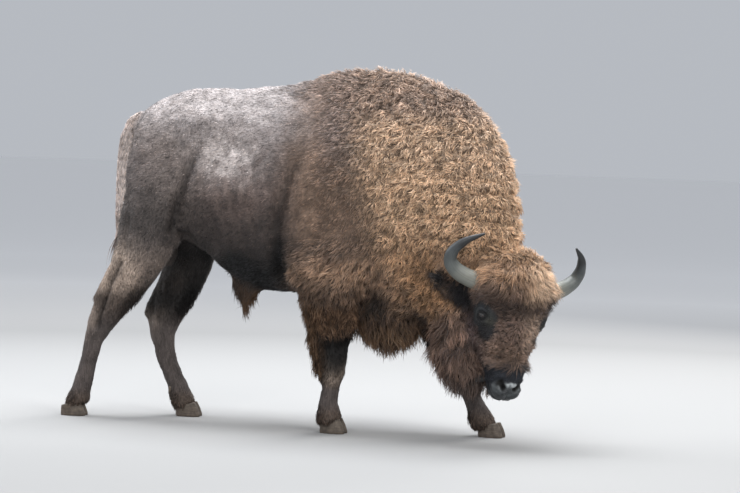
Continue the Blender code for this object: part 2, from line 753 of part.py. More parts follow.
def part_torso(torso):
    right, nose, out = head_axes()
    _, forward, _ = spine_at(1.55)
    front, torso = split(torso, beside_spine(1.60, 0, 1.1), forward + Vector((0, 0, 0.08)), "neck", "torso")
    head, neck = split(front, in_head(0, -0.02, -0.20), -nose * 0.15 + out * 0.9, "head", "neck")
    muzzle, head = split(head, in_head(0, 0.41, 0), nose - out * 0.15, "muzzle", "head")
    thorax, torso = split(torso, beside_spine(0.93, 0, 1.1), spine_at(0.93)[1], "thorax", "torso")
    slant = spine_at(0.46)[1] + Vector((0, 0, 0.18))
    abdomen, rump = split(torso, beside_spine(0.46, 0, 1.1), slant, "abdomen", "rump")
    rump, thighs = split(rump, beside_spine(0.20, 0, 1.14), (-0.10, 0, 1), "rump", "thighs")
    split(thighs, beside_spine(0.20, 0, 1.0), spine_at(0.20)[2], "thigh_left_hind", "thigh_right_hind")


def look_of(name):
    if name.startswith("eye"):
        return "eye"
    if name.startswith("horn"):
        return "horn"
    if name.startswith(("claw", "dewclaw")):
        return "hoof"
    if name.startswith("muzzle"):
        return "muzzle"
    if name.startswith(("head", "neck", "beard", "ear")):
        return "mane"
    if name.startswith(("thorax", "abdomen", "rump", "thigh")):
        return "coat"
    return "dark coat"


def paint(obj):
    colour, roughness = LOOKS[look_of(obj.name)]
    material = bpy.data.materials.new(obj.name)
    material.use_nodes = True
    shader = material.node_tree.nodes["Principled BSDF"]
    shader.inputs["Base Color"].default_value = (*colour, 1)
    shader.inputs["Roughness"].default_value = roughness
    obj.data.materials.clear()
    obj.data.materials.append(material)
    for polygon in obj.data.polygons:
        polygon.use_smooth = True


def stand_at_origin():
    """Moves every piece so that the bottom centre of the whole lies at the origin."""
    pieces = [obj for obj in bpy.data.objects if obj.type == "MESH"]
    places = np.array([v.co for obj in pieces for v in obj.data.vertices])
    low, high = places.min(axis=0), places.max(axis=0)
    shift = Vector((-(low[0] + high[0]) / 2, -(low[1] + high[1]) / 2, -low[2]))
    for obj in pieces:
        obj.data.transform(Matrix.Translation(shift))
    return shift


def main():
    for obj in list(bpy.data.objects):
        bpy.data.objects.remove(obj)
    body = melted_body()

    sockets = []
    for word, side in (("right", 1), ("left", -1)):
        _, socket = eyeball("eye_" + word, side, body)
        sockets.append(socket)
    body_grown = grown(body, FIT_GAP)
    for socket in sockets:
        boolean(body, socket, "DIFFERENCE")
        discard(socket)

    tail = hanging("tail", TAIL, reference=(1, -0.2, 0.2), count=10)
    fitted(tail, body_grown)
    split(tail, (0, 0, TAIL_PARTING), (0, 0, 1), "tail_dock", "tail_switch")
    for name, rows in (
        ("brisket_mane", BRISKET_MANE),
        ("beard", BEARD),
        ("sheath", SHEATH),
        ("scrotum", SCROTUM),
    ):
        fitted(hanging(name, rows), body_grown)
    for word, side in (("right", 1), ("left", -1)):
        fitted(horn("horn_" + word, side), body_grown)
    fitted(ear("ear_right", EAR_ROOT, RIGHT_EAR_TIP), body_grown)
    fitted(ear("ear_left", (-EAR_ROOT[0], *EAR_ROOT[1:]), LEFT_EAR_TIP), body_grown)
    for foot in FEET:
        fetlock, back = FETLOCKS[foot]
        for word, side in (("inner", 1), ("outer", -1)):
            side = side if foot.startswith("right") else -side
            claw("claw_" + foot + "_" + word, foot, side)
            fitted(dewclaw("dewclaw_" + foot + "_" + word, foot, side, fetlock, back), body_grown)
    discard(body_grown)

    torso, legs = part_legs(body)
    for foot, leg in legs.items():
        part_leg(foot, leg, LEG_JOINTS[foot])
    part_torso(torso)
    for obj in bpy.data.objects:
        paint(obj)
    return stand_at_origin()


SHIFT = main()
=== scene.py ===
"""The looks of the European bison bull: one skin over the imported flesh, a coat of solid tufts on it, and its
eyes, horns and hooves. Metres, +Z up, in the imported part's own frame."""

import math

import bmesh
import bpy
import numpy as np
from mathutils import Matrix, Vector, noise
from mathutils.bvhtree import BVHTree
from mathutils.kdtree import KDTree


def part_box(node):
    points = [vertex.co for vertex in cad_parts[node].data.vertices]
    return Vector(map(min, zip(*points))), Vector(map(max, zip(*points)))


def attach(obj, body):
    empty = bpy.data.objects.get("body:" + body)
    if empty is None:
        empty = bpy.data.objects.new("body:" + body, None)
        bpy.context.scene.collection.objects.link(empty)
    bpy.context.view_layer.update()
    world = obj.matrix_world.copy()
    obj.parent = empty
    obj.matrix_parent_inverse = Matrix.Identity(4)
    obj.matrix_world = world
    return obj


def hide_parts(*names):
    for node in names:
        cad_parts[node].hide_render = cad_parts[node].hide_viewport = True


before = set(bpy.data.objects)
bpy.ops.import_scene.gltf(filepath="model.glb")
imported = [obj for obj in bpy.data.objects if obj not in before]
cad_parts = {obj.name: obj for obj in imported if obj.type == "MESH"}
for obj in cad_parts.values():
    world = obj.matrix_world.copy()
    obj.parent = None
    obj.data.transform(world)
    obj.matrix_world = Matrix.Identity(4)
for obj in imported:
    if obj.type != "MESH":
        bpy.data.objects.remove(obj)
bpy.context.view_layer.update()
rng = np.random.default_rng(7)
THIN = 1.0

# ---- where things are ------------------------------------------------------------------------------------
UP = np.array((0.0, 0.0, 1.0))
TAIL_HEAD = (-0.9956, 0.3628)
# distance from the tail's root along the spine, and degrees to the right of +X there
SPINE_HEADINGS = ((0.0, 9.0), (0.6, 13.0), (1.2, 18.0), (1.6, 24.0), (2.0, 36.0))
FEET = ((-1.2506, 0.2848), (-0.6686, 0.4098), (0.0944, -0.0862), (0.8894, -0.0302))
HORN_LINE = np.array((0.9774, -0.4432, 0.815))  # the middle between the horns' roots
HEAD_TURN, HEAD_DROP, HEAD_TILT = 66.0, 84.0, 7.5
# The rest is in the head's own axes: to its right, down towards the nose, and out of the forehead.
HORN = (
    ((0.060, 0.042, -0.008), 0.047),
    ((0.130, 0.038, -0.024), 0.0465),
    ((0.210, 0.025, -0.055), 0.0440),
    ((0.290, -0.005, -0.080), 0.0395),
    ((0.343, -0.050, -0.075), 0.0335),
    ((0.352, -0.100, -0.040), 0.0270),
    ((0.318, -0.150, 0.020), 0.0180),
    ((0.252, -0.190, 0.078), 0.0050),
)
EAR_ROOT = (0.185, 0.085, -0.180)
EAR_TIPS = {1: (0.390, -0.010, -0.195), -1: (-0.290, 0.020, -0.320)}
PAD_EDGE = 0.497  # how far down the bare nose pad starts
MOUTH = ((0.62, -0.066), (0.575, -0.074), (0.53, -0.088), (0.485, -0.110))
NOSTRIL = ((0.058, 0.502), (0.029, 0.532))

SKIN_CELL = 0.0135  # size of the skin's quads, before the face is refined
SWELL = 0.0015  # closes the thin cuts between the solids
# Where the quads are split, one step after another: distance from an eye, half width of the muzzle's box, and
# the box's ends towards the nose and out of the forehead.
REFINED = (
    (0.110, 0.16, (0.36, 0.68), (-0.24, 0.20)),
    (0.066, 0.13, (0.46, 0.66), (-0.16, 0.12)),
    (0.044, 0, (0, 0), (0, 0)),
    (0.029, 0, (0, 0), (0, 0)),
)
EYE_RADIUS = 0.0205
CORNEA_HEIGHT, CORNEA_WIDTH = 0.0012, 0.008
FISSURE = (0.30, 0.95)  # the way from the back to the front corner: towards the nose, out of the forehead
LID_LONG, LID_UP, LID_DOWN = 0.0168, 0.0078, 0.0056  # half the length of the slit, and its two heights
LID_THICK = 0.0026

# ---- the coat, by the part of the body it grows on -------------------------------------------------------
# Depth of the skin below the tips, length, width, lift in degrees, curl, how far tufts gather and tufts per
# square metre, then the colour of the hair near its tip, as sRGB numbers to 255.
COAT = {
    "rump": ((0.0055, 0.020, 0.0040, 15, 0.25, 0.52, 21000), (122, 111, 106)),
    "belly": ((0.0050, 0.021, 0.0040, 12, 0.15, 0.42, 20000), (92, 80, 76)),
    "chest": ((0.0095, 0.029, 0.0042, 18, 0.38, 0.50, 18500), (138, 114, 97)),
    "neck": ((0.0240, 0.048, 0.0052, 30, 0.85, 0.34, 22000), (236, 199, 164)),
    "head": ((0.0160, 0.034, 0.0038, 30, 0.80, 0.42, 45000), (124, 103, 92)),
    "muzzle": ((0.0025, 0.008, 0.0022, 14, 0.00, 0.00, 26000), (44, 46, 50)),
    "ear": ((0.0000, 0.044, 0.0042, 32, 0.25, 0.45, 30000), (24, 22, 25)),
    "beard": ((0.0260, 0.088, 0.0056, 24, 0.55, 0.68, 15000), (112, 90, 78)),
    "mane": ((0.0270, 0.085, 0.0058, 26, 0.60, 0.70, 14500), (104, 80, 61)),
    "sheath": ((0.0140, 0.085, 0.0048, 14, 0.20, 0.65, 20000), (78, 60, 46)),
    "scrotum": ((0.0040, 0.013, 0.0035, 12, 0.10, 0.10, 14000), (60, 52, 48)),
    "dock": ((0.0020, 0.024, 0.0038, 8, 0.05, 0.20, 24000), (238, 223, 216)),
    "switch": ((0.0160, 0.150, 0.0048, 8, 0.15, 0.60, 24000), (190, 172, 164)),
    "upper leg": ((0.0050, 0.020, 0.0038, 13, 0.15, 0.42, 18000), (84, 73, 66)),
    "cannon": ((0.0030, 0.013, 0.0031, 12, 0.05, 0.30, 22000), (82, 74, 71)),
    "pastern": ((0.0000, 0.022, 0.0036, 12, 0.00, 0.20, 26000), (84, 74, 69)),
}
DEPTH, LENGTH, WIDTH, LIFT, CURL, GATHER, DENSITY = range(7)
KINDS = list(COAT)
KIND_OF_NODE = (
    ("rump", "rump"), ("thigh", "rump"), ("abdomen", "belly"), ("thorax", "chest"), ("neck", "neck"),
    ("head", "head"), ("muzzle", "muzzle"), ("ear", "ear"), ("beard", "beard"), ("brisket", "mane"),
    ("sheath", "sheath"), ("scrotum", "scrotum"), ("tail_dock", "dock"), ("tail_switch", "switch"),
    ("forearm", "upper leg"), ("gaskin", "upper leg"), ("fore_cannon", "cannon"), ("hind_cannon", "cannon"),
    ("pastern", "pastern"),
)
FLESH = sorted(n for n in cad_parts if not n.startswith(("eye", "horn", "claw", "dewclaw")))

# How the tufts are sorted into pieces: their lengths, the number of rings that let them bend, the slot, and
# whether they are on the legs or in the long hanging hair.
LEGS = ("upper leg", "cannon", "pastern")
LONG = ("beard", "mane", "sheath", "dock", "switch")
SHORT, MIDDLE, FLOWING = 0.0265, 0.0415, 0.060
PIECES = (
    ("sleek_coat", (0, SHORT), 1, "short coat", False, False),
    ("soft_coat", (SHORT, MIDDLE), 2, "short coat", False, False),
    ("wool", (MIDDLE, FLOWING), 2, "mane hair", False, False),
    ("locks", (FLOWING, 1), 3, "mane hair", False, False),
    ("sleek_legs", (0, SHORT), 1, "dark coat", True, False),
    ("soft_legs", (SHORT, 1), 2, "dark coat", True, False),
    ("long_hair", (0, 1), 4, "mane hair", False, True),
)
MOST_TRIANGLES = 195000
TUFT_ROOT = 0.0016  # how deep a tuft starts under the skin
TUFT_PATCH = 0.003  # how large a tuft is on the UV map
CLUMP_SIZE, LEAST_CLUMP, MOST_CLUMP = 0.54, 0.012, 0.038  # share of the hair's length, and its limits
BARE_ROUND_EYE = (0.026, 0.023)  # tufts thin out from the first distance to the second
BARE_AT_HOOF = (0.050, 0.030)
WOOL_SHADE = 0.66  # how much the skin under long hair is darkened, as painted shade


# ---- numbers and places ----------------------------------------------------------------------------------
def linear(colour):
    c = np.asarray(colour, float) / 255
    return np.where(c <= 0.04045, c / 12.92, ((c + 0.055) / 1.055) ** 2.4)


def unit(v):
    return v / np.maximum(np.linalg.norm(v, axis=-1, keepdims=True), 1e-12)


def dots(a, b):
    return np.sum(a * b, 1)


def ramp(x, low, high):
    """0 below low, 1 above high, and smooth between them. low may be the larger one."""
    t = np.clip((x - low) / (high - low), 0, 1)
    return t * t * (3 - 2 * t)


def bell(x, width):
    return np.exp(-((x / width) ** 2))


def oval(a, b, middle, half_sizes):
    """1 in the middle of an oval in two coordinates, falling off around it."""
    return bell(np.hypot((a - middle[0]) / half_sizes[0], (b - middle[1]) / half_sizes[1]), 1.0)


def away_from(points, place):
    return np.linalg.norm(points - place, axis=1)


def lumps(points, size, seed=0.0):
    """Smooth noise between about -1 and 1 whose lumps are of the given size."""
    scaled = points / size + seed
    return np.array([noise.noise(p) for p in scaled.tolist()]) * 1.6


def to_polyline(a, b, line):
    """Distance of 2-D points (a, b) from a line through the given points."""
    best = np.full(len(a), 1e9)
    for (a0, b0), (a1, b1) in zip(line, line[1:]):
        da, db = a1 - a0, b1 - b0
        t = np.clip(((a - a0) * da + (b - b0) * db) / (da * da + db * db), 0, 1)
        best = np.minimum(best, np.hypot(a - a0 - t * da, b - b0 - t * db))
    return best


def to_segment(points, a, b):
    """Distance from a line between two places, and how far along it."""
    way = b - a
    t = (points - a) @ way / (way @ way)
    return np.linalg.norm(points - a - np.clip(t, 0, 1)[:, None] * way, axis=1), t


def smooth_rows(rows, times):
    """Rows of numbers with more rows between them, on a smooth curve through the given ones."""
    rows = np.array(rows, float)
    slopes = np.gradient(rows, axis=0)
    at = np.linspace(0, len(rows) - 1, (len(rows) - 1) * times + 1)
    low = np.minimum(at.astype(int), len(rows) - 2)
    u = (at - low)[:, None]
    a, b, da, db = rows[low], rows[low + 1], slopes[low], slopes[low + 1]
    u2, u3 = u * u, u * u * u
    return (2 * u3 - 3 * u2 + 1) * a + (u3 - 2 * u2 + u) * da + (3 * u2 - 2 * u3) * b + (u3 - u2) * db


def head_axes():
    """The head's right, its way down to the nose, and its way out of the forehead."""
    turn, drop, tilt = (math.radians(a) for a in (HEAD_TURN, HEAD_DROP, HEAD_TILT))
    heading = np.array((math.cos(turn), -math.sin(turn), 0))
    level_right = np.array((-math.sin(turn), -math.cos(turn), 0))
    right = level_right * math.cos(tilt) + UP * math.sin(tilt)
    up = UP * math.cos(tilt) - level_right * math.sin(tilt)
    nose = heading * math.cos(drop) - up * math.sin(drop)
    out = heading * math.sin(drop) + up * math.cos(drop)
    return right, nose, out


RIGHT, NOSE, OUT = head_axes()


def in_head(right, nose, out):
    return HORN_LINE + RIGHT * right + NOSE * nose + OUT * out


def on_side(place, side):
    """A place in the head given for the right side, on the right (1) or the left (-1)."""
    return in_head(place[0] * side, *place[1:])


def head_coordinates(points):
    away = points - HORN_LINE
    return away @ RIGHT, away @ NOSE, away @ OUT


def eye_centre(word):
    low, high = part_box("eye_" + word)
    return np.array((low + high) / 2)


EYES = {1: eye_centre("right"), -1: eye_centre("left")}
EARS = {side: (on_side(EAR_ROOT, side), in_head(*tip)) for side, tip in EAR_TIPS.items()}
HORN_BASES = {side: (on_side(HORN[1][0], side), on_side(HORN[2][0], side)) for side in (1, -1)}


def eye_axes(side):
    """Where an eye looks, the way from its back to its front corner, and the way up across its lids."""
    gaze = unit(RIGHT * side * 0.86 + OUT * 0.50 + NOSE * 0.08)
    front = NOSE * FISSURE[0] + OUT * FISSURE[1]
    front = unit(front - gaze * (front @ gaze))
    up = np.cross(gaze, front)
    return gaze, front, up if up @ NOSE < 0 else -up


def eye_distance(points, side, long):
    """Distance from an eye, in an oval that is longer along the slit."""
    gaze, front, up = eye_axes(side)
    away = points - EYES[side]
    return np.sqrt(((away @ front) / long) ** 2 + (away @ up) ** 2 + (away @ gaze) ** 2)


def below_eye(points, side):
    """Distance from the dark sleek place under an eye's front corner."""
    _, front, up = eye_axes(side)
    return away_from(points, EYES[side] + front * 0.030 - up * 0.052)


def spine_table():
    """Distance along the spine, place on the floor and heading, in small steps, run on past both ends."""
    step = 0.01
    distance = np.arange(-0.3, 2.3, step)
    stops, turns = zip(*SPINE_HEADINGS)
    heading = np.radians(np.interp(distance, stops, turns))
    x = np.cumsum(np.cos(heading)) * step
    y = np.cumsum(-np.sin(heading)) * step
    start = np.argmin(abs(distance))
    return distance, x - x[start] + TAIL_HEAD[0], y - y[start] + TAIL_HEAD[1], heading


def spine_coordinates(points):
    """Distance along the spine, distance to the left of it, and the forward direction there."""
    distance, x, y, heading = spine_table()
    batch = 20000
    near = np.empty(len(points), int)
    for i in range(0, len(points), batch):
        part = points[i : i + batch]
        near[i : i + batch] = np.argmin((part[:, :1] - x) ** 2 + (part[:, 1:2] - y) ** 2, axis=1)
    forward = np.stack((np.cos(heading), -np.sin(heading), 0 * heading), 1)[near]
    left = (points[:, 1] - y[near]) * forward[:, 0] - (points[:, 0] - x[near]) * forward[:, 1]
    return distance[near], left, forward


# ---- meshes ----------------------------------------------------------------------------------------------
def numbers_of(items, name, width, kind=np.float32):
    values = np.empty(len(items) * width, kind)
    items.foreach_get(name, values)
    return values.reshape(-1, width)


def set_numbers(items, name, values, kind=np.float32):
    items.foreach_set(name, np.asarray(values, kind).ravel())


def points_of(mesh):
    return numbers_of(mesh.vertices, "co", 3).astype(float)


def normals_of(mesh):
    return numbers_of(mesh.vertex_normals, "vector", 3).astype(float)


def edges_of(mesh):
    return numbers_of(mesh.edges, "vertices", 2, np.int32)


def set_points(mesh, points):
    set_numbers(mesh.vertices, "co", points)
    mesh.update()


def set_hair(mesh, colours):
    """The colour of the hair at each vertex."""
    layer = mesh.color_attributes.new("hair", "FLOAT_COLOR", "POINT")
    set_numbers(layer.data, "color", np.concatenate((colours, np.ones((*colours.shape[:-1], 1))), -1))


def set_values(mesh, name, values):
    set_numbers(mesh.attributes.new(name, "FLOAT", "POINT").data, "value", values)


def set_uv(mesh, name, values):
    set_numbers(mesh.uv_layers.new(name=name).data, "uv", values)


def neighbour_mean(values, edges):
    a, b = edges.T
    count = len(values)
    total = np.empty_like(values)
    for k in range(values.shape[1]):
        total[:, k] = np.bincount(a, values[b, k], count) + np.bincount(b, values[a, k], count)
    degree = np.bincount(a, minlength=count) + np.bincount(b, minlength=count)
    return total / np.maximum(degree, 1)[:, None]


def spread(values, edges, steps):
    """Evens out values given at the vertices."""
    values = values.reshape(len(values), -1).astype(float)
    for _ in range(steps):
        values = values * 0.5 + neighbour_mean(values, edges) * 0.5
    return values


def eased(points, edges, share, steps, back):
    """Smooths the given share of each point's way, where a negative back undoes most of the shrinking."""
    for step in range(steps):
        pull = neighbour_mean(points, edges) - points
        points = points + pull * share * (0.5 if step % 2 == 0 else back)
    return points


def placed(name, mesh):
    obj = bpy.data.objects.new(name, mesh)
    bpy.context.scene.collection.objects.link(obj)
    return obj


def object_from(name, bm):
    mesh = bpy.data.meshes.new(name)
    bm.to_mesh(mesh)
    bm.free()
    return placed(name, mesh)


def new_mesh(name, points, triangles):
    """A smooth mesh object from arrays of points and of triangles."""
    mesh = bpy.data.meshes.new(name)
    mesh.vertices.add(len(points))
    set_numbers(mesh.vertices, "co", points)
    mesh.loops.add(3 * len(triangles))
    set_numbers(mesh.loops, "vertex_index", triangles, np.int32)
    mesh.polygons.add(len(triangles))
    set_numbers(mesh.polygons, "loop_start", range(0, 3 * len(triangles), 3), np.int32)
    mesh.update()
    mesh.validate()
    mesh.shade_smooth()
    return placed(name, mesh)


def from_nodes(name, nodes, swell=0.0):
    """The solids of some nodes in one object, each point moved out by the swell."""
    bm = bmesh.new()
    for node in nodes:
        bm.from_mesh(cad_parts[node].data)
    bmesh.ops.remove_doubles(bm, verts=bm.verts, dist=1e-6)
    bm.normal_update()
    for vert in bm.verts:
        vert.co += vert.normal * swell
    return object_from(name, bm)


def remeshed(obj, cell):
    cells = obj.modifiers.new("cells", "REMESH")
    cells.mode = "VOXEL"
    cells.voxel_size = cell
    mesh = bpy.data.meshes.new_from_object(obj.evaluated_get(bpy.context.evaluated_depsgraph_get()))
    obj.modifiers.clear()
    obj.data = mesh
    return obj


def unwrap(obj):
    """A UV map named OFBake, on the object's own shape."""
    for layer in list(obj.data.uv_layers):
        obj.data.uv_layers.remove(layer)
    obj.data.uv_layers.new(name="OFBake")
    bpy.ops.object.select_all(action="DESELECT")
    bpy.context.view_layer.objects.active = obj
    obj.select_set(True)
    bpy.ops.object.mode_set(mode="EDIT")
    bpy.ops.mesh.select_all(action="SELECT")
    bpy.ops.uv.smart_project(angle_limit=math.radians(66), island_margin=0.001)
    bpy.ops.object.mode_set(mode="OBJECT")


def dress(obj, material, slot, *nodes):
    """Gives a piece its material and its body, and hides the nodes that it replaces. The slot is not used."""
    obj.data.materials.clear()
    obj.data.materials.append(material)
    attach(obj, "root")
    if nodes:
        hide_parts(*nodes)
    return obj


# ---- what is known at each vertex of the skin ------------------------------------------------------------
def kind_at(points):
    """For each point, which kind of coat the nearest flesh solid carries."""
    places, faces, kinds = [], [], []
    for name in FLESH:
        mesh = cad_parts[name].data
        first = len(places)
        places += [v.co[:] for v in mesh.vertices]
        faces += [[first + i for i in p.vertices] for p in mesh.polygons]
        kind = next(k for start, k in KIND_OF_NODE if name.startswith(start))
        kinds += [KINDS.index(kind)] * len(mesh.polygons)
    tree = BVHTree.FromPolygons(places, faces)
    return np.array([kinds[tree.find_nearest(p)[2]] for p in points.tolist()])


class Fields:
    """The coat, the colour, the painted shading of folds and lumps at each vertex of the skin, and where the
    vertex is on the body.
    """

    def __init__(self, mesh):
        self.points = points_of(mesh)
        self.edges = edges_of(mesh)
        self.normals = normals_of(mesh)
        self.kind = kind_at(self.points)
        self.along, self.left, self.forward = spine_coordinates(self.points)
        self.head = head_coordinates(self.points)
        self.wander = self.points[:, 2] + 0.045 * lumps(self.points, 0.13, 17.0)  # height, with a ragged edge
        self.shares = self.soften(spread(np.eye(len(KINDS))[self.kind], self.edges, 9))
        styles, colours = zip(*COAT.values())
        self.coat = self.shares @ np.array(styles, float)
        self.hair = self.shares @ linear(colours)
        # painted shading: below 0 darkens the hair in creases and hollows, above 0 lightens it on ridges and
        # lumps
        self.relief_shading = np.zeros(len(self.kind))
        self.pit = np.zeros(len(self.kind))
        facing = dots(self.normals, self.forward)
        self.facing_back = ramp(facing, 0.15, -0.55)
        self.facing_front = ramp(facing, -0.05, 0.75)
        to_left = np.cross(UP, self.forward)
        self.inner = ramp(dots(self.normals, to_left) * -np.sign(self.left), 0.0, 0.5)

    def soften(self, shares):
        """Lets the coats of the trunk and legs run into each other over a hand's width or more."""
        s, z = self.along, self.points[:, 2]

        def pass_on(giver, taker, part):
            moved = shares[:, KINDS.index(giver)] * part
            shares[:, KINDS.index(giver)] -= moved
            shares[:, KINDS.index(taker)] += moved

        _, nose, out = self.head
        for kind in ("belly", "chest", "neck"):
            pass_on(kind, "rump", 1.0)
        pass_on("head", "rump", np.maximum(ramp(nose, -0.07, -0.14), ramp(out, -0.34, -0.40)))
        pass_on("rump", "belly", ramp(s, 0.28, 0.60))
        pass_on("belly", "chest", ramp(s, 0.80, 1.10))
        pass_on("chest", "neck", ramp(s - (1.277 + (1.65 - z) * 0.31), -0.17, 0.15))
        hind = s < 0.7
        pass_on("rump", "upper leg", ramp(z, 0.98, 0.62) * hind)
        pass_on("chest", "upper leg", ramp(z, 0.84, 0.66) * (s < 1.35) * (abs(self.left) > 0.12))
        for kind in ("cannon", "pastern"):
            pass_on(kind, "upper leg", 1.0)
        pass_on("upper leg", "cannon", np.where(hind, ramp(z, 0.60, 0.44), ramp(z, 0.27, 0.20)))
        pass_on("cannon", "pastern", ramp(z, 0.16, 0.10))
        return shares

    def share(self, *kinds):
        return sum(self.shares[:, KINDS.index(k)] for k in kinds)

    def woolly(self):
        return np.clip(self.coat[:, CURL] * 1.3, 0, 1)

    def tint(self, colour, amount):
        amount = np.clip(amount, 0, 1)[:, None]
        self.hair = self.hair * (1 - amount) + linear(colour) * amount

    def style(self, amount, *values):
        """Moves the coat towards a depth, length, width, lift, curl, gather and density. None stays."""
        amount = np.clip(amount, 0, 1)
        for column, value in enumerate(values):
            if value is not None:
                self.coat[:, column] = self.coat[:, column] * (1 - amount) + value * amount


# ---- the coat's variety ----------------------------------------------------------------------------------
def sleek_nose(f):
    """How far towards the nose each vertex lies past the edge of the woolly face."""
    right, nose, out = f.head
    side = ramp(abs(right), 0.045, 0.085) * ramp(out, 0.02, -0.05)
    return nose - 0.436 + 0.052 * side - 0.7 * np.maximum(-0.130 - out, 0)


def past_pad_edge(f):
    """How far towards the nose each vertex lies past the upper edge of the bare pad."""
    right, nose, _ = f.head
    return nose - PAD_EDGE - abs(right) * 0.10


def bare_nose(f):
    """1 on the bare skin of the nose and lips."""
    _, nose, out = f.head
    ragged = 0.004 * lumps(f.points, 0.012, 43.0)
    pad = ramp(past_pad_edge(f) + ragged, -0.007, 0.007) * ramp(out, -0.075, -0.055)
    lips = bell(to_polyline(nose, out, MOUTH), 0.014) * ramp(nose, 0.46, 0.49)
    return np.clip(np.maximum(pad, lips), 0, 1) * ramp(nose, 0.44, 0.46)


def pad_highlight(f):
    """1 along the lit upper edge of the nose pad, where a painted highlight stands for the wet pad's
    reflection.
    """
    right, _, out = f.head
    patchy = 0.8 + 0.4 * lumps(f.points, 0.010, 47.0)
    middle = ramp(out, -0.035, -0.005) * ramp(abs(right), 0.064, 0.046)
    return bell(past_pad_edge(f) - 0.012, 0.012) * middle * patchy


def vary_trunk_coat(f):
    """Longer wool along the ridge, hump and elbow, and a sleek chest behind the shoulder."""
    z, s, share = f.points[:, 2], f.along, f.share
    ridge = share("chest", "belly", "rump") * ramp(s, 0.72, 1.05) * ramp(abs(f.left), 0.20, 0.05)
    f.style(ridge * ramp(z, 1.55, 1.70), 0.022, 0.050, 0.0050, 34, 0.70, 0.48, 21000)
    hump = share("chest") * ramp(z, 1.15, 1.55) * ramp(s, 0.92, 1.25)
    f.style(hump * 0.8, 0.017, 0.040, 0.0048, 27, 0.65, 0.46, 21000)
    f.style(share("chest") * ramp(s, 1.24, 0.94), 0.006, 0.024, 0.0042, 13, 0.15, 0.35, 18000)
    f.style(share("chest") * ramp(z, 1.00, 0.80), 0.020, 0.058, 0.0056, 26, 0.5, 0.65)
    f.style(share("belly") * ramp(z, 0.88, 0.80), 0.007, 0.034, 0.0044, 14, 0.2, 0.4)


def vary_leg_coat(f):
    """Wool and a fringe on the forearm, long hair on the shin, and tufts behind and over the hooves."""
    z, share = f.points[:, 2], f.share
    fore = share("upper leg") * (f.along > 0.7)
    f.style(fore * ramp(z, 0.42, 0.53), 0.012, 0.046, 0.0048, 24, 0.5, 0.6, 20000)
    f.style(fore * f.facing_back * ramp(z, 0.24, 0.34), 0.012, 0.058, 0.0050, 24, 0.35, 0.6)
    f.style(share("pastern") * f.facing_back * ramp(z, 0.06, 0.10), None, 0.036, 0.0044, 16, 0.1, 0.4)
    hind = share("upper leg") * (f.along <= 0.7)
    shin = hind * f.facing_front * ramp(z, 0.40, 0.48) * ramp(z, 0.72, 0.62)
    f.style(shin, 0.008, 0.038, 0.0042, 20, 0.3, 0.6)
    f.style(share("pastern") * ramp(z, 0.095, 0.070), None, 0.030, 0.0040, 9, 0.1, 0.4, 34000)


def vary_head_coat(f):
    """The mop, jaw, sleek low face, mouth, chin and fringe, then what surrounds each eye, horn and ear."""
    _, nose, out = f.head
    share, style = f.share, f.style
    head = share("head", "beard", "muzzle")
    mop = share("head") * ramp(nose, 0.170, 0.010) * ramp(out, -0.32, -0.16)
    style(mop, 0.034, 0.074, 0.0046, 28, 0.55, 0.50, 30000)
    jaw = share("head") * ramp(out, -0.11, -0.20) * ramp(nose, 0.10, 0.18)
    style(jaw, 0.020, 0.048, 0.0042, 30, 0.6, 0.60, 28000)
    low_face = share("head", "muzzle") * ramp(sleek_nose(f), -0.010, 0.006)
    style(low_face, 0.0050, 0.015, 0.0028, 16, 0.1, 0.2, 34000)
    near_mouth = head * ramp(nose, 0.375, 0.420) * ramp(out, -0.26, -0.20) * ramp(out, -0.02, -0.07)
    style(near_mouth, 0.010, 0.024, 0.0032, 18, 0.2, 0.3, 30000)
    chin = head * ramp(nose, 0.36, 0.42) * ramp(out, -0.105, -0.130)
    style(chin, 0.010, 0.088, 0.0048, 34, 0.5, 0.5, 20000)
    fringe = share("head", "muzzle") * bell(sleek_nose(f) + 0.022, 0.020) * ramp(out, -0.14, -0.04)
    style(fringe * 1.3, 0.014, 0.068, 0.0044, 24, 0.35, 0.6, 32000)
    for side in (1, -1):
        lids = ramp(eye_distance(f.points, side, 1.20), 0.092, 0.060)
        style(lids, 0.0042, 0.010, 0.0022, 12, 0.0, 0.1, 32000)
        hollow = ramp(below_eye(f.points, side), 0.075, 0.045)
        style(hollow * 0.8, 0.0060, 0.016, 0.0028, 18, 0.2, 0.3, 30000)
        collar = share("head", "neck") * ramp(away_from(f.points, HORN_BASES[side][0]), 0.115, 0.060)
        style(collar, -0.002, 0.070, None, 16, 0.45, 0.6, 32000)
        round_ear = share("neck") * ramp(to_segment(f.points, *EARS[side])[0], 0.170, 0.090)
        style(round_ear, 0.046, 0.036, None, 16, 0.5, 0.4)


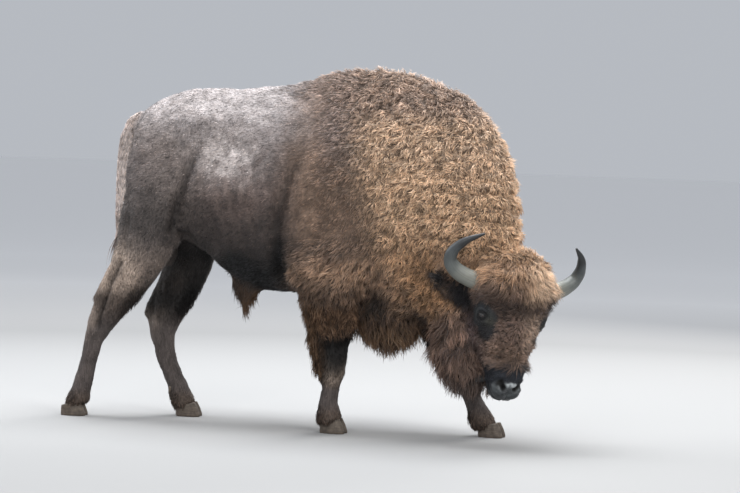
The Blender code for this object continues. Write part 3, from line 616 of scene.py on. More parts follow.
# ---- the markings ----------------------------------------------------------------------------------------
def mark_trunk(f):
    """Painted sheen along the back, dark low on the flank, painted shade under the belly and in the hollow of
    the elbow, gold on the neck.
    """
    z, s, wander, share, tint = f.points[:, 2], f.along, f.wander, f.share, f.tint
    body = share("rump", "belly", "chest")
    # painted sky sheen: the top of the back is paled, in patches, fading down the sides
    backs = 0.92 + 0.25 * lumps(f.points, 0.05, 33.0)
    tint((172, 164, 163), body * ramp(wander, 1.36, 1.62) * ramp(s, 1.20, 0.75) * backs)
    tint((152, 134, 126), body * ramp(wander, 1.20, 1.62) * ramp(s, 0.90, 1.20) * 0.9)
    tint((108, 91, 84), share("belly") * bell(z - 1.10, 0.20) * bell(s - 0.66, 0.26))
    tint((104, 96, 94), share("rump", "belly") * oval(s, z, (0.10, 1.28), (0.15, 0.20)) * 0.6)
    # painted highlight on the hollow of the flank, patchy and half as strong on the left side
    patchy = (0.80 + 0.45 * lumps(f.points, 0.035, 37.0)) * (1 - 0.5 * ramp(f.left, -0.05, 0.05))
    tint((206, 196, 193), body * oval(s, z, (0.60, 1.36), (0.18, 0.12)) * patchy)
    tint((58, 51, 48), share("rump", "belly") * ramp(s, 0.12, 0.28) * ramp(wander, 1.26, 1.02) * 0.8)
    # painted shade under the body: the belly's dark brown is made near black below the flank
    tint((6, 5, 5), body * ramp(wander, 1.00, 0.82) * ramp(s, 0.25, 0.40) * ramp(s, 1.2, 0.9))
    thigh = share("rump", "upper leg")
    # painted highlight on the back of the thigh
    tint((214, 193, 176), thigh * ramp(z, 1.00, 0.76) * ramp(s, 0.18, 0.01) * ramp(z, 0.62, 0.74) * 0.85)
    tint((44, 41, 40), thigh * bell(wander - 1.02, 0.15) * ramp(s, 0.36, 0.14) * 0.75)
    tint((218, 179, 148), share("chest") * ramp(wander, 0.95, 0.76) * ramp(s, 0.88, 1.02) * 0.9)
    tint((188, 146, 108), share("neck") * ramp(z, 1.15, 0.78))
    tint((222, 191, 163), share("neck") * ramp(z, 1.15, 1.50) * 0.8)
    tint((158, 136, 123), share("neck", "chest") * ramp(z, 1.50, 1.68) * 0.8)
    tint((80, 60, 46), share("neck", "chest") * ramp(z, 0.70, 0.56) * ramp(s, 1.3, 1.5))
    # painted shade in the hollow behind the elbow, on the right side only
    armpit = oval(f.points[:, 0], z, (0.30, 0.66), (0.10, 0.13)) * (f.left < 0)
    tint((34, 27, 24), 0.85 * share("neck", "chest", "upper leg", "mane") * armpit)


def mark_head(f):
    """Gold on the crown, a dark brow, a brown face, painted light on the far side of crown and face, and a
    dark muzzle and jaw.
    """
    z, share, tint = f.points[:, 2], f.share, f.tint
    right, nose, out = f.head
    head = share("head")
    crown = nose + 0.035 * lumps(f.points, 0.09, 27.0)
    tint((184, 149, 119), head * ramp(crown, 0.10, -0.05) * ramp(out, -0.32, -0.10))
    # painted highlight on the top of the crown, on the head's far (left) side only
    far_side = ramp(out, -0.25, -0.05) * ramp(right, 0.03, -0.08)
    tint((250, 216, 184), 0.95 * head * ramp(crown, 0.12, 0.0) * far_side)
    tint((54, 42, 35), head * bell(crown - 0.130, 0.075) * ramp(out, -0.14, -0.04) * 0.85)
    tint((98, 85, 87), head * ramp(out, -0.05, -0.14) * ramp(nose, 0.12, 0.22) * ramp(right, -0.05, 0.05))
    # painted light on the far (left) side of the face
    tint((190, 164, 144), head * ramp(right, 0.02, -0.07) * ramp(nose, 0.12, 0.18) * ramp(nose, 0.40, 0.34))
    tint((132, 108, 92), head * bell(nose - 0.37, 0.07) * ramp(out, -0.05, 0.0))
    tint((31, 34, 41), share("head", "muzzle") * ramp(sleek_nose(f), -0.012, 0.010))
    jaw = share("head", "beard", "muzzle") * ramp(nose, 0.355, 0.410) * ramp(out, -0.24, -0.15)
    tint((44, 43, 49), 0.85 * jaw * ramp(sleek_nose(f), 0.010, -0.012) * ramp(out, 0.0, -0.06))
    tint((72, 60, 54), share("beard") * ramp(z, 0.36, 0.25) * 0.8)
    tint((142, 114, 98), share("beard") * ramp(z, 0.44, 0.66) * 0.7)
    tint((140, 110, 82), share("mane") * bell(z - 0.47, 0.06) * 0.75)


def mark_legs(f):
    """A dark forearm deepened by painted shade, a paler knee, a pale thigh, a dark shin, painted shade on the
    inner sides, and the tail.
    """
    z, wander, share, tint = f.points[:, 2], f.wander, f.share, f.tint
    fore = share("upper leg") * (f.along > 0.7)
    tint((112, 88, 70), fore * ramp(wander, 0.50, 0.58))
    # painted shade: the forearm's hollow is made near black, less on its back
    low = ramp(wander, 0.58, 0.47) * ramp(wander, 0.27, 0.35) * (1 - 0.6 * f.facing_back)
    tint((5, 5, 6), 0.95 * fore * low)
    tint((108, 85, 66), fore * f.facing_back * ramp(z, 0.26, 0.34))
    tint((132, 118, 107), fore * bell(wander - 0.275, 0.05) * (1 - f.facing_back))
    hind = share("upper leg") * (f.along <= 0.7)
    tint((162, 144, 131), hind * ramp(z, 0.60, 0.75) * ramp(z, 1.00, 0.78) * 0.8)
    shin = hind * (1 - f.facing_back) * ramp(f.facing_front, 0.0, 0.8) * ramp(z, 0.95, 0.75)
    tint((44, 39, 38), shin * 0.75)
    hock = share("upper leg", "cannon") * (f.along <= 0.7) * f.facing_back * bell(z - 0.50, 0.07)
    tint((142, 128, 118), hock * 0.7)
    tint((104, 88, 76), share("pastern") * ramp(z, 0.16, 0.08) * 0.6)
    # painted shade on the sides facing in, between the legs
    tint((12, 11, 12), share("rump", "upper leg", "scrotum", "belly") * f.inner * ramp(z, 1.02, 0.84) * 0.9)
    # painted shade on the back of the tail
    tint((168, 150, 142), 0.55 * share("dock") * f.facing_back)
    streaks = ramp(lumps(f.points * (1, 1, 0.18), 0.014, 51.0), 0.0, 0.7)
    tint((160, 142, 133), 0.30 * share("dock") * streaks)
    tint((120, 92, 66), share("sheath") * ramp(z, 0.72, 0.62) * 0.8)


def mark_eyes_and_ears(f):
    """A dark oval round each eye with bluish and olive skin in it, a dark track below it, and dark ears."""
    nose, tint = f.head[1], f.tint
    for side in (1, -1):
        _, front, up = eye_axes(side)
        eye = EYES[side]
        ring = eye_distance(f.points, side, 1.15) + 0.008 * lumps(f.points, 0.04, 31.0)
        sleek = np.maximum(ramp(ring, 0.094, 0.062), ramp(below_eye(f.points, side), 0.085, 0.050))
        tint((32, 33, 36), sleek)
        tint((54, 56, 55), 0.7 * bell(ring - 0.042, 0.016) * ramp(nose, 0.26, 0.20))
        tint((66, 70, 78), 0.7 * bell(away_from(f.points, eye + up * 0.042 - front * 0.012), 0.026))
        tint((64, 62, 52), 0.8 * bell(away_from(f.points, eye + front * 0.044 - up * 0.010), 0.028))
        tint((20, 19, 21), ramp(ring, 0.034, 0.022))
        tint((34, 31, 32), 0.95 * bell(away_from(f.points, eye + NOSE * 0.080 + OUT * 0.005), 0.040))
        root, tip = EARS[side]
        away, _ = to_segment(f.points, root - RIGHT * side * 0.05, tip)
        tint((28, 25, 28), f.share("head", "neck") * ramp(away, 0.125, 0.080) * ramp(nose, -0.035, 0.015))


def break_up_colour(f):
    """Large patches, mottled sleek hair, lumps in the wool, streaks down the flank, and painted shade in folds
    with painted light on ridges.
    """
    wool = f.woolly()
    streaky = f.share("belly", "chest") * ramp(f.points[:, 2], 1.50, 1.30) * (1 - wool)
    for amount, stretch, size, seed in (
        (0.10, 1, 0.16, 0.0),
        (0.20 * (1 - wool), (1, 1, 0.6), 0.055, 19.0),
        (0.07 + 0.11 * wool, 1, 0.035, 9.0),
        (0.28 * streaky, (1, 1, 0.22), 0.022, 1.0),
    ):
        f.hair *= (1 + amount * lumps(f.points * stretch, size, seed))[:, None]
    # painted shade in creases, grooves and valleys, painted light on ridges and lumps
    f.hair *= np.clip(1 + 0.50 * f.relief_shading, 0.28, 1.4)[:, None]


# ---- forms under the skin --------------------------------------------------------------------------------
# on the trunk, in distance along the spine and height: a line, its depth and its width
TRUNK_CREASES = (
    (((0.43, 1.42), (0.36, 1.24), (0.31, 1.10), (0.305, 0.98), (0.36, 0.93)), 0.030, 0.050),
    (((0.96, 1.36), (0.92, 1.20), (0.885, 1.05), (0.88, 0.92), (0.90, 0.80)), 0.028, 0.070),
    (((1.36, 1.52), (1.44, 1.30), (1.47, 1.10)), 0.012, 0.060),
    (((0.93, 0.88), (1.03, 0.80), (1.15, 0.77)), 0.014, 0.040),
    (((0.03, 1.20), (0.06, 1.00), (0.03, 0.82)), 0.010, 0.050),
)
# a middle, its height above the rest and its two half sizes
TRUNK_SWELLS = (
    ((0.47, 1.535), 0.022, (0.090, 0.050)),
    ((0.40, 1.46), 0.010, (0.050, 0.100)),
    ((0.61, 1.40), -0.012, (0.10, 0.08)),
    ((0.10, 1.42), 0.014, (0.06, 0.12)),
    ((1.13, 1.34), 0.024, (0.11, 0.26)),
    ((1.00, 0.88), 0.018, (0.09, 0.08)),
    ((0.62, 1.10), 0.014, (0.18, 0.24)),
    ((0.20, 1.12), 0.018, (0.10, 0.18)),
)
FLANK_EDGE = ((0.32, 0.955), (0.40, 0.91), (0.47, 0.87))
# down the hollow ahead of the hock's tendon: distance ahead of the hoof, height
HOCK_GROOVE = ((0.225, 0.80), (0.180, 0.70), (0.155, 0.62), (0.130, 0.54), (0.120, 0.47))


def waves(x, length):
    return np.sin(x * 2 * math.pi / length)


def trunk_forms(f):
    """Creases, muscles, ribs and the rippled edge of the flank, with painted shade in the creases and a
    painted highlight on the edge.
    """
    s, z = f.along, f.points[:, 2]
    trunk = f.share("rump", "belly", "chest") * ramp(abs(f.left), 0.06, 0.16)
    move = np.zeros(len(z))
    for line, depth, width in TRUNK_CREASES:
        away = to_polyline(s, z, line)
        top = line[0][1]
        fade = ramp(z, top + 0.06, top - 0.14) * (1 - 0.45 * ramp(f.left, -0.05, 0.05))
        move -= trunk * fade * depth * (bell(away, width * 0.50) - 0.35 * bell(away - width, width * 0.6))
        # painted shade in the crease
        f.relief_shading -= trunk * fade * depth * 34 * bell(away, width * 0.42)
    for middle, height, half_sizes in TRUNK_SWELLS:
        move += trunk * height * oval(s, z, middle, half_sizes)
    ribs = trunk * bell(s - 0.70, 0.17) * bell(z - 1.12, 0.24)
    move += ribs * 0.003 * waves(s + (z - 1.1) * 0.35, 0.075)
    edge = trunk * bell(to_polyline(s, z, FLANK_EDGE), 0.022)
    # painted highlight on the rippled edge of the flank
    f.relief_shading += edge * 0.7
    return move + edge * (0.010 + 0.006 * waves(s, 0.05))


def wool_forms(f):
    """Lumps in the wool, deep folds across the nape, and a slightly uneven sleek coat, with painted shade in
    the dips and valleys.
    """
    z, wool = f.points[:, 2], f.woolly()
    big, small = lumps(f.points, 0.060, 5.0), lumps(f.points, 0.030, 6.0)
    # painted shade in the wool's dips and painted light on its lumps
    f.relief_shading += wool * (0.55 * big + 0.40 * small)
    nape = 0.75 * f.share("neck") * ramp(f.along, 1.56, 1.76) * ramp(z, 0.90, 1.05) * ramp(z, 1.40, 1.22)
    turn = (z + 0.10 * f.left) / 0.082 + 0.35 * lumps(f.points, 0.2, 2.0)
    valley = bell(turn - np.round(turn), 0.17)
    # painted shade in the nape's valleys and painted light on the folds between them
    f.relief_shading += nape * (0.35 - 1.3 * valley)
    uneven = (1 - wool) * 0.0012 * lumps(f.points, 0.045, 8.0)
    return wool * (0.0100 * big + 0.0055 * small) + nape * (0.010 - 0.030 * valley) + uneven


def leg_forms(f):
    """The groove ahead of the hock's tendon, the cords down the shanks, and the pastern, with painted shade in
    the groove.
    """
    x, z = f.points[:, 0], f.points[:, 2]
    move = f.share("pastern") * 0.002
    shank = f.share("upper leg", "cannon", "rump") * (f.along < 0.5) * ramp(z, 0.90, 0.80) * (1 - f.inner)
    for (foot, _), side in zip(FEET[:2], (-1, 1)):
        near = shank * (np.sign(f.left) == side)
        groove = [(foot + ahead, height) for ahead, height in HOCK_GROOVE]
        away = to_polyline(x, z, groove)
        ahead, height = zip(*groove[::-1])
        behind = x < np.interp(z, height, ahead)
        move += near * (0.007 * bell(away - 0.036, 0.018) * behind - 0.020 * bell(away, 0.018))
        # painted shade in the groove and painted light on the tendon
        f.relief_shading += near * (0.5 * bell(away - 0.036, 0.020) * behind - 1.1 * bell(away, 0.018))
    lower = f.share("cannon", "upper leg") * ramp(z, 0.80, 0.60)
    cords = lumps(f.points * (1, 1, 0.30), 0.024, 4.0)
    # painted shade and light along the cords
    f.relief_shading += lower * 0.35 * cords
    return move + lower * 0.0030 * cords


def head_forms(f):
    """Folds round the eyes, brows, cheeks, the nose's bridge and the ears' hollows, with painted shade in
    folds and hollows.
    """
    right, nose, out = f.head
    head = f.share("head", "muzzle", "beard")
    move = head * 0.006 * oval(nose, out, (0.30, -0.13), (0.09, 0.05))
    move += head * 0.005 * oval(right, nose, (0, 0.36), (0.035, 0.12)) * ramp(out, -0.05, 0.0)
    for side in (1, -1):
        ring = eye_distance(f.points, side, 1.25)
        fold = waves(ring, 0.012) * ramp(ring, 0.032, 0.038) * ramp(ring, 0.060, 0.048)
        fold *= (0.55 + 0.45 * lumps(f.points, 0.03, 41.0)) * ramp(nose, 0.25, 0.19)
        brow = bell(away_from(f.points, EYES[side] - NOSE * 0.045 + OUT * 0.025), 0.035)
        move += head * (0.0034 * fold + 0.008 * brow)
        # painted shade in the folds and painted light on their ridges
        f.relief_shading += head * 0.8 * fold
        away, t = to_segment(f.points, *EARS[side])
        hollow = f.share("ear") * bell(away, 0.022) * ramp(t, 0.1, 0.35) * ramp(t, 0.95, 0.75)
        hollow *= ramp(f.normals @ unit(OUT + NOSE * 0.5), 0.1, 0.6) * (right * side > 0)
        move -= hollow * 0.012
        # painted shade in the ears' hollows
        f.relief_shading -= hollow * 1.2
    return move


def shape_mouth(f):
    """Lips, nostrils and the pad between them, as each vertex's move along its normal."""
    right, nose, out = f.head
    away = to_polyline(nose, out, MOUTH)
    lips = -0.014 * bell(away, 0.0050) + 0.0055 * bell(away - 0.014, 0.008)
    move = lips * ramp(nose, 0.475, 0.505)
    edge = past_pad_edge(f)
    front = ramp(out, -0.055, -0.02)
    move += front * (0.0034 * bell(edge - 0.010, 0.014) - 0.0016 * bell(edge + 0.010, 0.010))
    move -= front * 0.0040 * bell(edge - 0.035, 0.014) * bell(right, 0.045)
    move -= 0.0035 * bell(right, 0.0035) * ramp(nose, 0.53, 0.56) * ramp(out, -0.075, -0.06)
    move += 0.010 * oval(right, nose, (0, 0.535), (0.06, 0.035)) * ramp(out, -0.105, -0.125)
    face = ramp(out, -0.105, -0.085)
    for side in (1, -1):
        reach, t = to_segment(np.stack((right * side, nose), 1), *np.array(NOSTRIL))
        t = np.clip(t, 0, 1)
        reach = np.hypot(reach, np.maximum(-0.068 - out, 0)) / (0.0160 - 0.0050 * t)
        move -= 0.026 * face * bell(reach, 0.95)
        move += 0.0036 * face * bell(reach - 1.85, 0.50) * (1 - 0.6 * t)
        f.pit = np.maximum(f.pit, face * ramp(reach, 1.45, 0.75))
    return move * ramp(nose, 0.42, 0.47)


def slit_height(u, above):
    """Half the opening between the lids, at a distance along it from the eye's middle."""
    high = np.where(above, LID_UP, LID_DOWN)
    return high * np.maximum(1 - (u / LID_LONG) ** 2, 0) ** 0.7


def seat_eyes(points):
    """Draws the skin over the eyeballs as lids with folds, and into a slit between them."""
    soft, behind, line, pocket = 0.004, -0.014, 0.0008, 0.0100
    for side, centre in EYES.items():
        gaze, front, up = eye_axes(side)
        away = points - centre
        g, u, v = away @ gaze, away @ front, away @ up
        flat = np.hypot(u, v)
        ball = np.sqrt(np.maximum((EYE_RADIUS + LID_THICK) ** 2 - flat**2, 0.0))
        base = EYE_RADIUS * 0.55 - np.maximum(flat - EYE_RADIUS * 0.8, 0) * 0.30
        target = soft * np.logaddexp(ball / soft, base / soft)
        ring = np.hypot(u / 1.45, v)
        target += (0.0026 * bell(ring - 0.0175, 0.0030) - 0.0024 * bell(ring - 0.0225, 0.0026)) * (v > 0)
        target += 0.0018 * bell(ring - 0.0300, 0.0036) - 0.0012 * bell(ring - 0.0160, 0.0026) * (v < 0)
        hold = ramp(flat, 0.058, 0.030) * (g > behind)
        points += gaze * ((target - g) * hold)[:, None]
        high = slit_height(u, v > 0)
        inside = (abs(u) < LID_LONG) & (g > behind)
        by = inside & (abs(abs(v) - high) < line)
        points[by] += up * ((high - abs(v)) * np.sign(v))[by, None]
        points[inside & ~by & (abs(v) < high)] -= gaze * pocket
    return points


# ---- the skin --------------------------------------------------------------------------------------------
def ease_facets(mesh):
    """Smooths out the solids' facets without thinning the body, most on the trunk."""
    points, edges = points_of(mesh), edges_of(mesh)
    right, nose, _ = head_coordinates(points)
    face = ramp(np.hypot(right, nose - 0.2), 0.50, 0.34)
    trunk = (ramp(points[:, 2], 0.60, 0.85) * (1 - face))[:, None]
    points = eased(points, edges, np.maximum(trunk, 0.85), 14, -0.47)
    set_points(mesh, eased(points, edges, trunk, 30, -0.47))


def refine(mesh, eye_reach, wide, down, forward):
    """Splits the quads whose corners are all near an eye or in a box round the muzzle."""

    def wanted(points):
        right, nose, out = head_coordinates(points)
        snout = (abs(right) < wide) & (nose > down[0]) & (nose < down[1])
        snout &= (out > forward[0]) & (out < forward[1])
        return snout | (np.min([away_from(points, eye) for eye in EYES.values()], axis=0) < eye_reach)

    bm = bmesh.new()
    bm.from_mesh(mesh)
    chosen = wanted(np.array([v.co[:] for v in bm.verts]))
    edges = [e for e in bm.edges if all(chosen[v.index] for v in e.verts)]
    bmesh.ops.subdivide_edges(bm, edges=edges, cuts=1, use_grid_fill=True, smooth=0.0)
    bmesh.ops.triangulate(bm, faces=[f for f in bm.faces if len(f.verts) > 4])
    bm.to_mesh(mesh)
    bm.free()
    points = points_of(mesh)
    set_points(mesh, eased(points, edges_of(mesh), wanted(points)[:, None], 8, -0.46))


def thickness(mesh, f):
    """How thick the body is under each vertex, up to a limit."""
    limit, start = 0.15, 0.0008
    tree = BVHTree.FromPolygons(f.points.tolist(), [p.vertices[:] for p in mesh.polygons])
    rays = zip((f.points - f.normals * start).tolist(), (-f.normals).tolist())
    found = [tree.ray_cast(place, way, limit)[3] for place, way in rays]
    return np.array([limit if d is None else d for d in found])


def draw_up(f):
    """Raises the skin where long hair hangs below it, thins the tail, and draws in the ears' tips."""
    tops = {"beard": (0.60, 0.20), "mane": (0.66, 0.20), "sheath": (0.70, 0.45), "switch": (0.98, 0.45)}
    top = sum(f.share(kind) * height for kind, (height, _) in tops.items())
    raised = sum(f.share(kind) * part for kind, (_, part) in tops.items())
    drop = np.maximum(top / np.maximum(f.share(*tops), 1e-6) - f.points[:, 2], 0)
    f.points[:, 2] += drop * raised
    tail = f.share("dock", "switch") * ramp(dots(f.normals, f.forward), -0.2, 0.4)
    f.points += f.forward * (tail * 0.026 * ramp(f.points[:, 2], 1.60, 1.50))[:, None]
    for side, (root, tip) in EARS.items():
        _, t = to_segment(f.points, root, tip)
        mine = f.share("ear") * (f.head[0] * side > 0) * ramp(t, 0.35, 1.0)
        f.points += (root - tip) * (0.13 * mine)[:, None]


def meet_hooves(f):
    """Flares the skin out over the edge of each foot's hooves."""
    for foot in FEET:
        away = f.points[:, :2] - foot
        band = f.share("pastern") * (np.linalg.norm(away, axis=1) < 0.14) * ramp(f.points[:, 2], 0.130, 0.075)
        f.points[:, :2] += unit(away) * (band * 0.007)[:, None]
        f.points[:, 2] -= band * 0.012


def build_skin():
    obj = remeshed(from_nodes("skin", [*FLESH, "eye_left", "eye_right"], SWELL), SKIN_CELL)
    ease_facets(obj.data)
    unwrap(obj)
    for step in REFINED:
        refine(obj.data, *step)
    f = Fields(obj.data)
    vary_trunk_coat(f)
    vary_leg_coat(f)
    vary_head_coat(f)
    move = trunk_forms(f) + wool_forms(f) + leg_forms(f) + head_forms(f)
    mark_trunk(f)
    mark_head(f)
    mark_legs(f)
    mark_eyes_and_ears(f)
    break_up_colour(f)
    f.points += f.normals * move[:, None]
    f.points -= f.normals * spread(np.minimum(f.coat[:, DEPTH], 0.36 * thickness(obj.data, f)), f.edges, 3)
    draw_up(f)
    meet_hooves(f)
    f.points += f.normals * shape_mouth(f)[:, None]
    f.points = seat_eyes(f.points)
    set_points(obj.data, f.points)
    obj.data.shade_smooth()
    f.normals = normals_of(obj.data)
    f.head = head_coordinates(f.points)
    f.lie = lie_of_hair(f)
    f.bare = np.maximum(bare_nose(f), f.pit)
    return obj, f


# ---- tufts -----------------------------------------------------------------------------------------------
def lie_of_hair(f):
    """The way the hair lies at each vertex, in the surface."""
    z = f.points[:, 2]
    right, nose, out = f.head
    share = f.share
    lie = np.zeros((len(z), 3))

    def add(direction, amount):
        nonlocal lie
        lie = lie + direction * amount[:, None]

    trunk = share("rump", "belly", "chest")
    add(-f.forward, trunk)
    add(-UP, trunk * (0.15 + 0.45 * ramp(abs(f.left), 0.05, 0.25)))
    add(-UP, share("rump") * ramp(z, 1.3, 0.9) * 1.2)
    add(-UP, share("chest") * ramp(f.along, 1.0, 1.4) * 0.9)
    add(-f.forward * 0.5 - UP * 0.9, share("neck"))
    add(-UP, share(*LEGS, *LONG, "scrotum"))
    side = np.clip(right / 0.045, -1, 1)[:, None]
    add(NOSE * 0.9 + RIGHT * side * 0.35 + OUT * 0.2, share("head") * ramp(nose, 0.15, 0.05))
    below = share("head") * ramp(nose, 0.05, 0.15)
    add(NOSE * 0.35 + RIGHT * side * 0.8 - OUT * 0.7, below * ramp(out, -0.12, 0.0))
    add(NOSE * 0.7 - OUT * 0.5 - UP * 0.3, below * ramp(out, 0.0, -0.12))
    add(RIGHT * side * 0.7 - OUT * 0.4 - NOSE * 0.5, share("muzzle"))
    chin = share("head", "muzzle") * ramp(nose, 0.36, 0.42) * ramp(out, -0.105, -0.130)
    add(-UP * 2.0 - OUT * 0.8, chin)
    for s, (root, tip) in EARS.items():
        add(unit(tip - root), share("ear") * (right * s > 0) * 1.5)
        base, further = HORN_BASES[s]
        add(unit(further - base) * 2.0, share("head", "neck") * ramp(away_from(f.points, base), 0.115, 0.060))
    swirl = np.stack([lumps(f.points, 0.11, seed) for seed in (3.0, 13.0, 23.0)], 1)
    lie += swirl * (0.10 + 0.55 * f.coat[:, CURL])[:, None]
    lie = spread(lie, f.edges, 4)
    return unit(lie - f.normals * dots(lie, f.normals)[:, None])


class Roots:
    """Places on the skin where tufts grow, spread by the coat's density, and the coat and colour there."""

    def __init__(self, obj, f):
        obj.data.calc_loop_triangles()
        triangles = obj.data.loop_triangles
        corners = numbers_of(triangles, "vertices", 3, np.int32)
        a, b, c = (f.points[corners[:, k]] for k in range(3))
        area = np.linalg.norm(np.cross(b - a, c - a), axis=1) / 2
        bare = f.bare
        for eye in EYES.values():
            bare = np.maximum(bare, ramp(away_from(f.points, eye), *BARE_ROUND_EYE))
        wanted = f.coat[:, DENSITY] * (1 - bare) * ramp(f.points[:, 2], *BARE_AT_HOOF[::-1])
        share = area * wanted[corners].mean(axis=1) * THIN
        ends = np.cumsum(share)
        self.count = count = int(ends[-1])
        at = (np.arange(count) + rng.random(count)) / count * ends[-1]
        face = np.minimum(np.searchsorted(ends, at), len(share) - 1)
        u, v = rng.random(count), rng.random(count)
        over = u + v > 1
        u[over], v[over] = 1 - u[over], 1 - v[over]
        weights = np.stack((1 - u - v, u, v), 1)
        corners = corners[face]

        def mix(values):
            return np.einsum("ij,ijk->ik", weights, values.reshape(len(values), -1)[corners])

        uv = numbers_of(obj.data.uv_layers["OFBake"].data, "uv", 2)
        loops = numbers_of(triangles, "loops", 3, np.int32)[face]
        self.uv = np.einsum("ij,ijk->ik", weights, uv[loops])
        self.place, self.normal = mix(f.points), unit(mix(f.normals))
        self.lie, self.coat, self.hair = mix(f.lie), mix(f.coat), mix(f.hair)
        self.kind = f.kind[corners[:, 0]]
        self.along = mix(f.along)[:, 0]
        sleek = ramp(self.coat[:, LENGTH], 0.034, 0.022)
        speck = 0.55 * lumps(self.place, 0.013, 4.0) + 0.40 * lumps(self.place * (0.4, 0.4, 1), 0.022, 7.0)
        self.hair *= np.clip(1 + speck * (0.35 + 0.65 * sleek), 0.35, 2.1)[:, None]
        self.gather()

    def gather(self):
        """Leans neighbouring tufts towards one of them, and gives each such clump a sway, lift and tone."""
        spacing = np.clip(self.coat[:, LENGTH] * CLUMP_SIZE, LEAST_CLUMP, MOST_CLUMP)
        chance = (0.0095 / spacing) ** 2 / THIN * 0.9
        centres = np.flatnonzero(rng.random(self.count) < chance)
        tree = KDTree(len(centres))
        for i, place in enumerate(self.place[centres].tolist()):
            tree.insert(place, i)
        tree.balance()
        found = np.array([tree.find(p)[1:] for p in self.place.tolist()])
        # how far out in its clump a tuft stands; grow darkens the outer tufts as painted shade between the
        # locks
        self.outer = ramp(found[:, 1] / spacing, 0.12, 0.62) * self.coat[:, GATHER]
        self.centre = centres[found[:, 0].astype(int)]
        self.sway = rng.normal(0, 0.55, self.count)
        self.lift = rng.uniform(0.65, 1.35, self.count)
        self.tone = rng.normal(1.0, 0.14, self.count).clip(0.6, 1.5)

    def of_kinds(self, kinds):
        return np.isin(self.kind, [KINDS.index(k) for k in kinds])


def bent_lines(roots, chosen, rings):
    """Each tuft's line from root to tip, with the way across it and the way out of it, and its width."""
    place, normal, coat = roots.place[chosen], roots.normal[chosen], roots.coat[chosen]
    count = len(chosen)
    lie = unit(roots.lie[chosen] - normal * dots(roots.lie[chosen], normal)[:, None])
    across = np.cross(normal, lie)
    length = coat[:, LENGTH] * rng.uniform(0.72, 1.25, count)
    width = coat[:, WIDTH] * rng.uniform(0.75, 1.25, count) * (1.15 if THIN == 1 else 1.7)
    centre = roots.centre[chosen]
    sway = roots.sway[centre] * (0.10 + 0.85 * coat[:, CURL]) + rng.normal(0, 0.16, count)
    lift = np.radians(coat[:, LIFT]) * rng.uniform(0.6, 1.4, count) * roots.lift[centre]
    curl = coat[:, CURL] * rng.uniform(0.4, 1.3, count)
    phase = rng.uniform(0, 2 * math.pi, count) * 0.35 + roots.sway[centre] * 5
    weight = ramp(length, 0.035, 0.110) * 0.95
    to_centre = roots.place[centre] - place
    at = place - normal * TUFT_ROOT
    line, sides, ups = [], [], []
    for s in np.arange(rings + 1) / rings:
        tilt = lift * (1 - 0.75 * s)
        turn = sway + curl * 1.1 * np.sin(phase + s * 5.5)
        flat = lie * np.cos(turn)[:, None] + across * np.sin(turn)[:, None]
        rise = np.sin(tilt) + curl * 0.35 * np.cos(phase + s * 6.5)
        way = unit(flat * np.cos(tilt)[:, None] + normal * rise[:, None] - UP * (weight * s)[:, None])
        side = unit(np.cross(way, normal) + across * 0.05)
        line.append(at + to_centre * (coat[:, GATHER] * s**1.4)[:, None])
        sides.append(side)
        ups.append(np.cross(side, way))
        at = at + way * (length / rings)[:, None]
    return line, sides, ups, width


def tuft_faces(rings):
    """The triangles of one tuft: its root, a band of three sides between two rings, and its point."""
    point = rings * 3
    faces = [(0, 1, 2)]
    for start in range(0, point - 3, 3):
        for k in range(3):
            a, b = start + k, start + (k + 1) % 3
            faces += [(a, a + 3, b), (b, a + 3, b + 3)]
    faces += [(point - 3 + k, point, point - 3 + (k + 1) % 3) for k in range(3)]
    return np.array(faces)


def grow(name, roots, chosen, rings):
    """Tufts as thin closed spikes of triangular section, bent along the lie of the hair. One mesh."""
    count, coat = len(chosen), roots.coat[chosen]
    line, sides, ups, width = bent_lines(roots, chosen, rings)
    points, tone = [], []
    for ring in range(rings):
        s = ring / rings
        half = (width * (0.62 + 0.38 * math.sin(math.pi * min(s * 1.6, 1))) * (1 - s) ** 0.55)[:, None] / 2
        middle, side = line[ring], sides[ring] * half
        points += [middle - side, middle + ups[ring] * half * 0.75, middle + side]
        tone += [s] * 3
    points = np.stack([*points, line[rings]], 1)
    tone = np.array([*tone, 1.0])
    per_tuft = len(tone)
    faces = tuft_faces(rings)
    triangles = (faces[None] + (np.arange(count) * per_tuft)[:, None, None]).reshape(-1, 3)
    obj = new_mesh(name, points.reshape(-1, 3), triangles)

    sleek = ramp(coat[:, LENGTH], 0.030, 0.018)
    # paler tips, and roots darkened as painted shade deep in the coat, less in sleek hair
    rooted = (0.36 + 0.36 * sleek)[:, None]
    shade = rooted + (1.22 - rooted) * tone[None, :] ** 0.8
    # random brightness, and painted shade on the outer tufts of each clump
    bright = np.exp(rng.normal(0, 0.10 + 0.24 * sleek, count)) * (1.16 - 0.66 * roots.outer[chosen])
    clump = roots.tone[roots.centre[chosen]] - 1
    bright *= np.maximum(1 + clump * (1 + coat[:, CURL] + 1.2 * sleek), 0.3)
    warm = rng.normal(0, 0.035, count)[:, None] * np.array((1.0, 0.1, -1.0))
    colour = (roots.hair[chosen] * bright[:, None] * (1 + warm))[:, None, :] * shade[:, :, None]
    brightest = colour.max(axis=2, keepdims=True)
    set_hair(obj.data, colour / np.maximum(brightest, 1))  # keeps the hue where it would be too bright

    corner = faces.ravel()
    around = np.where(corner == per_tuft - 1, 1, corner % 3) / 2 - 0.5
    patch = np.stack((around, tone[corner] - 0.5), 1) * TUFT_PATCH
    set_uv(obj.data, "OFBake", roots.uv[chosen][:, None, :] + patch[None])
    ribbon = np.stack((around, tone[corner]), 1)[None]
    set_uv(obj.data, "strand", ribbon + rng.random((count, 1, 2)) * 40)
    obj.data.uv_layers.active = obj.data.uv_layers["OFBake"]
    return obj


# ---- materials -------------------------------------------------------------------------------------------
def grey(value):
    return (value, value, value)


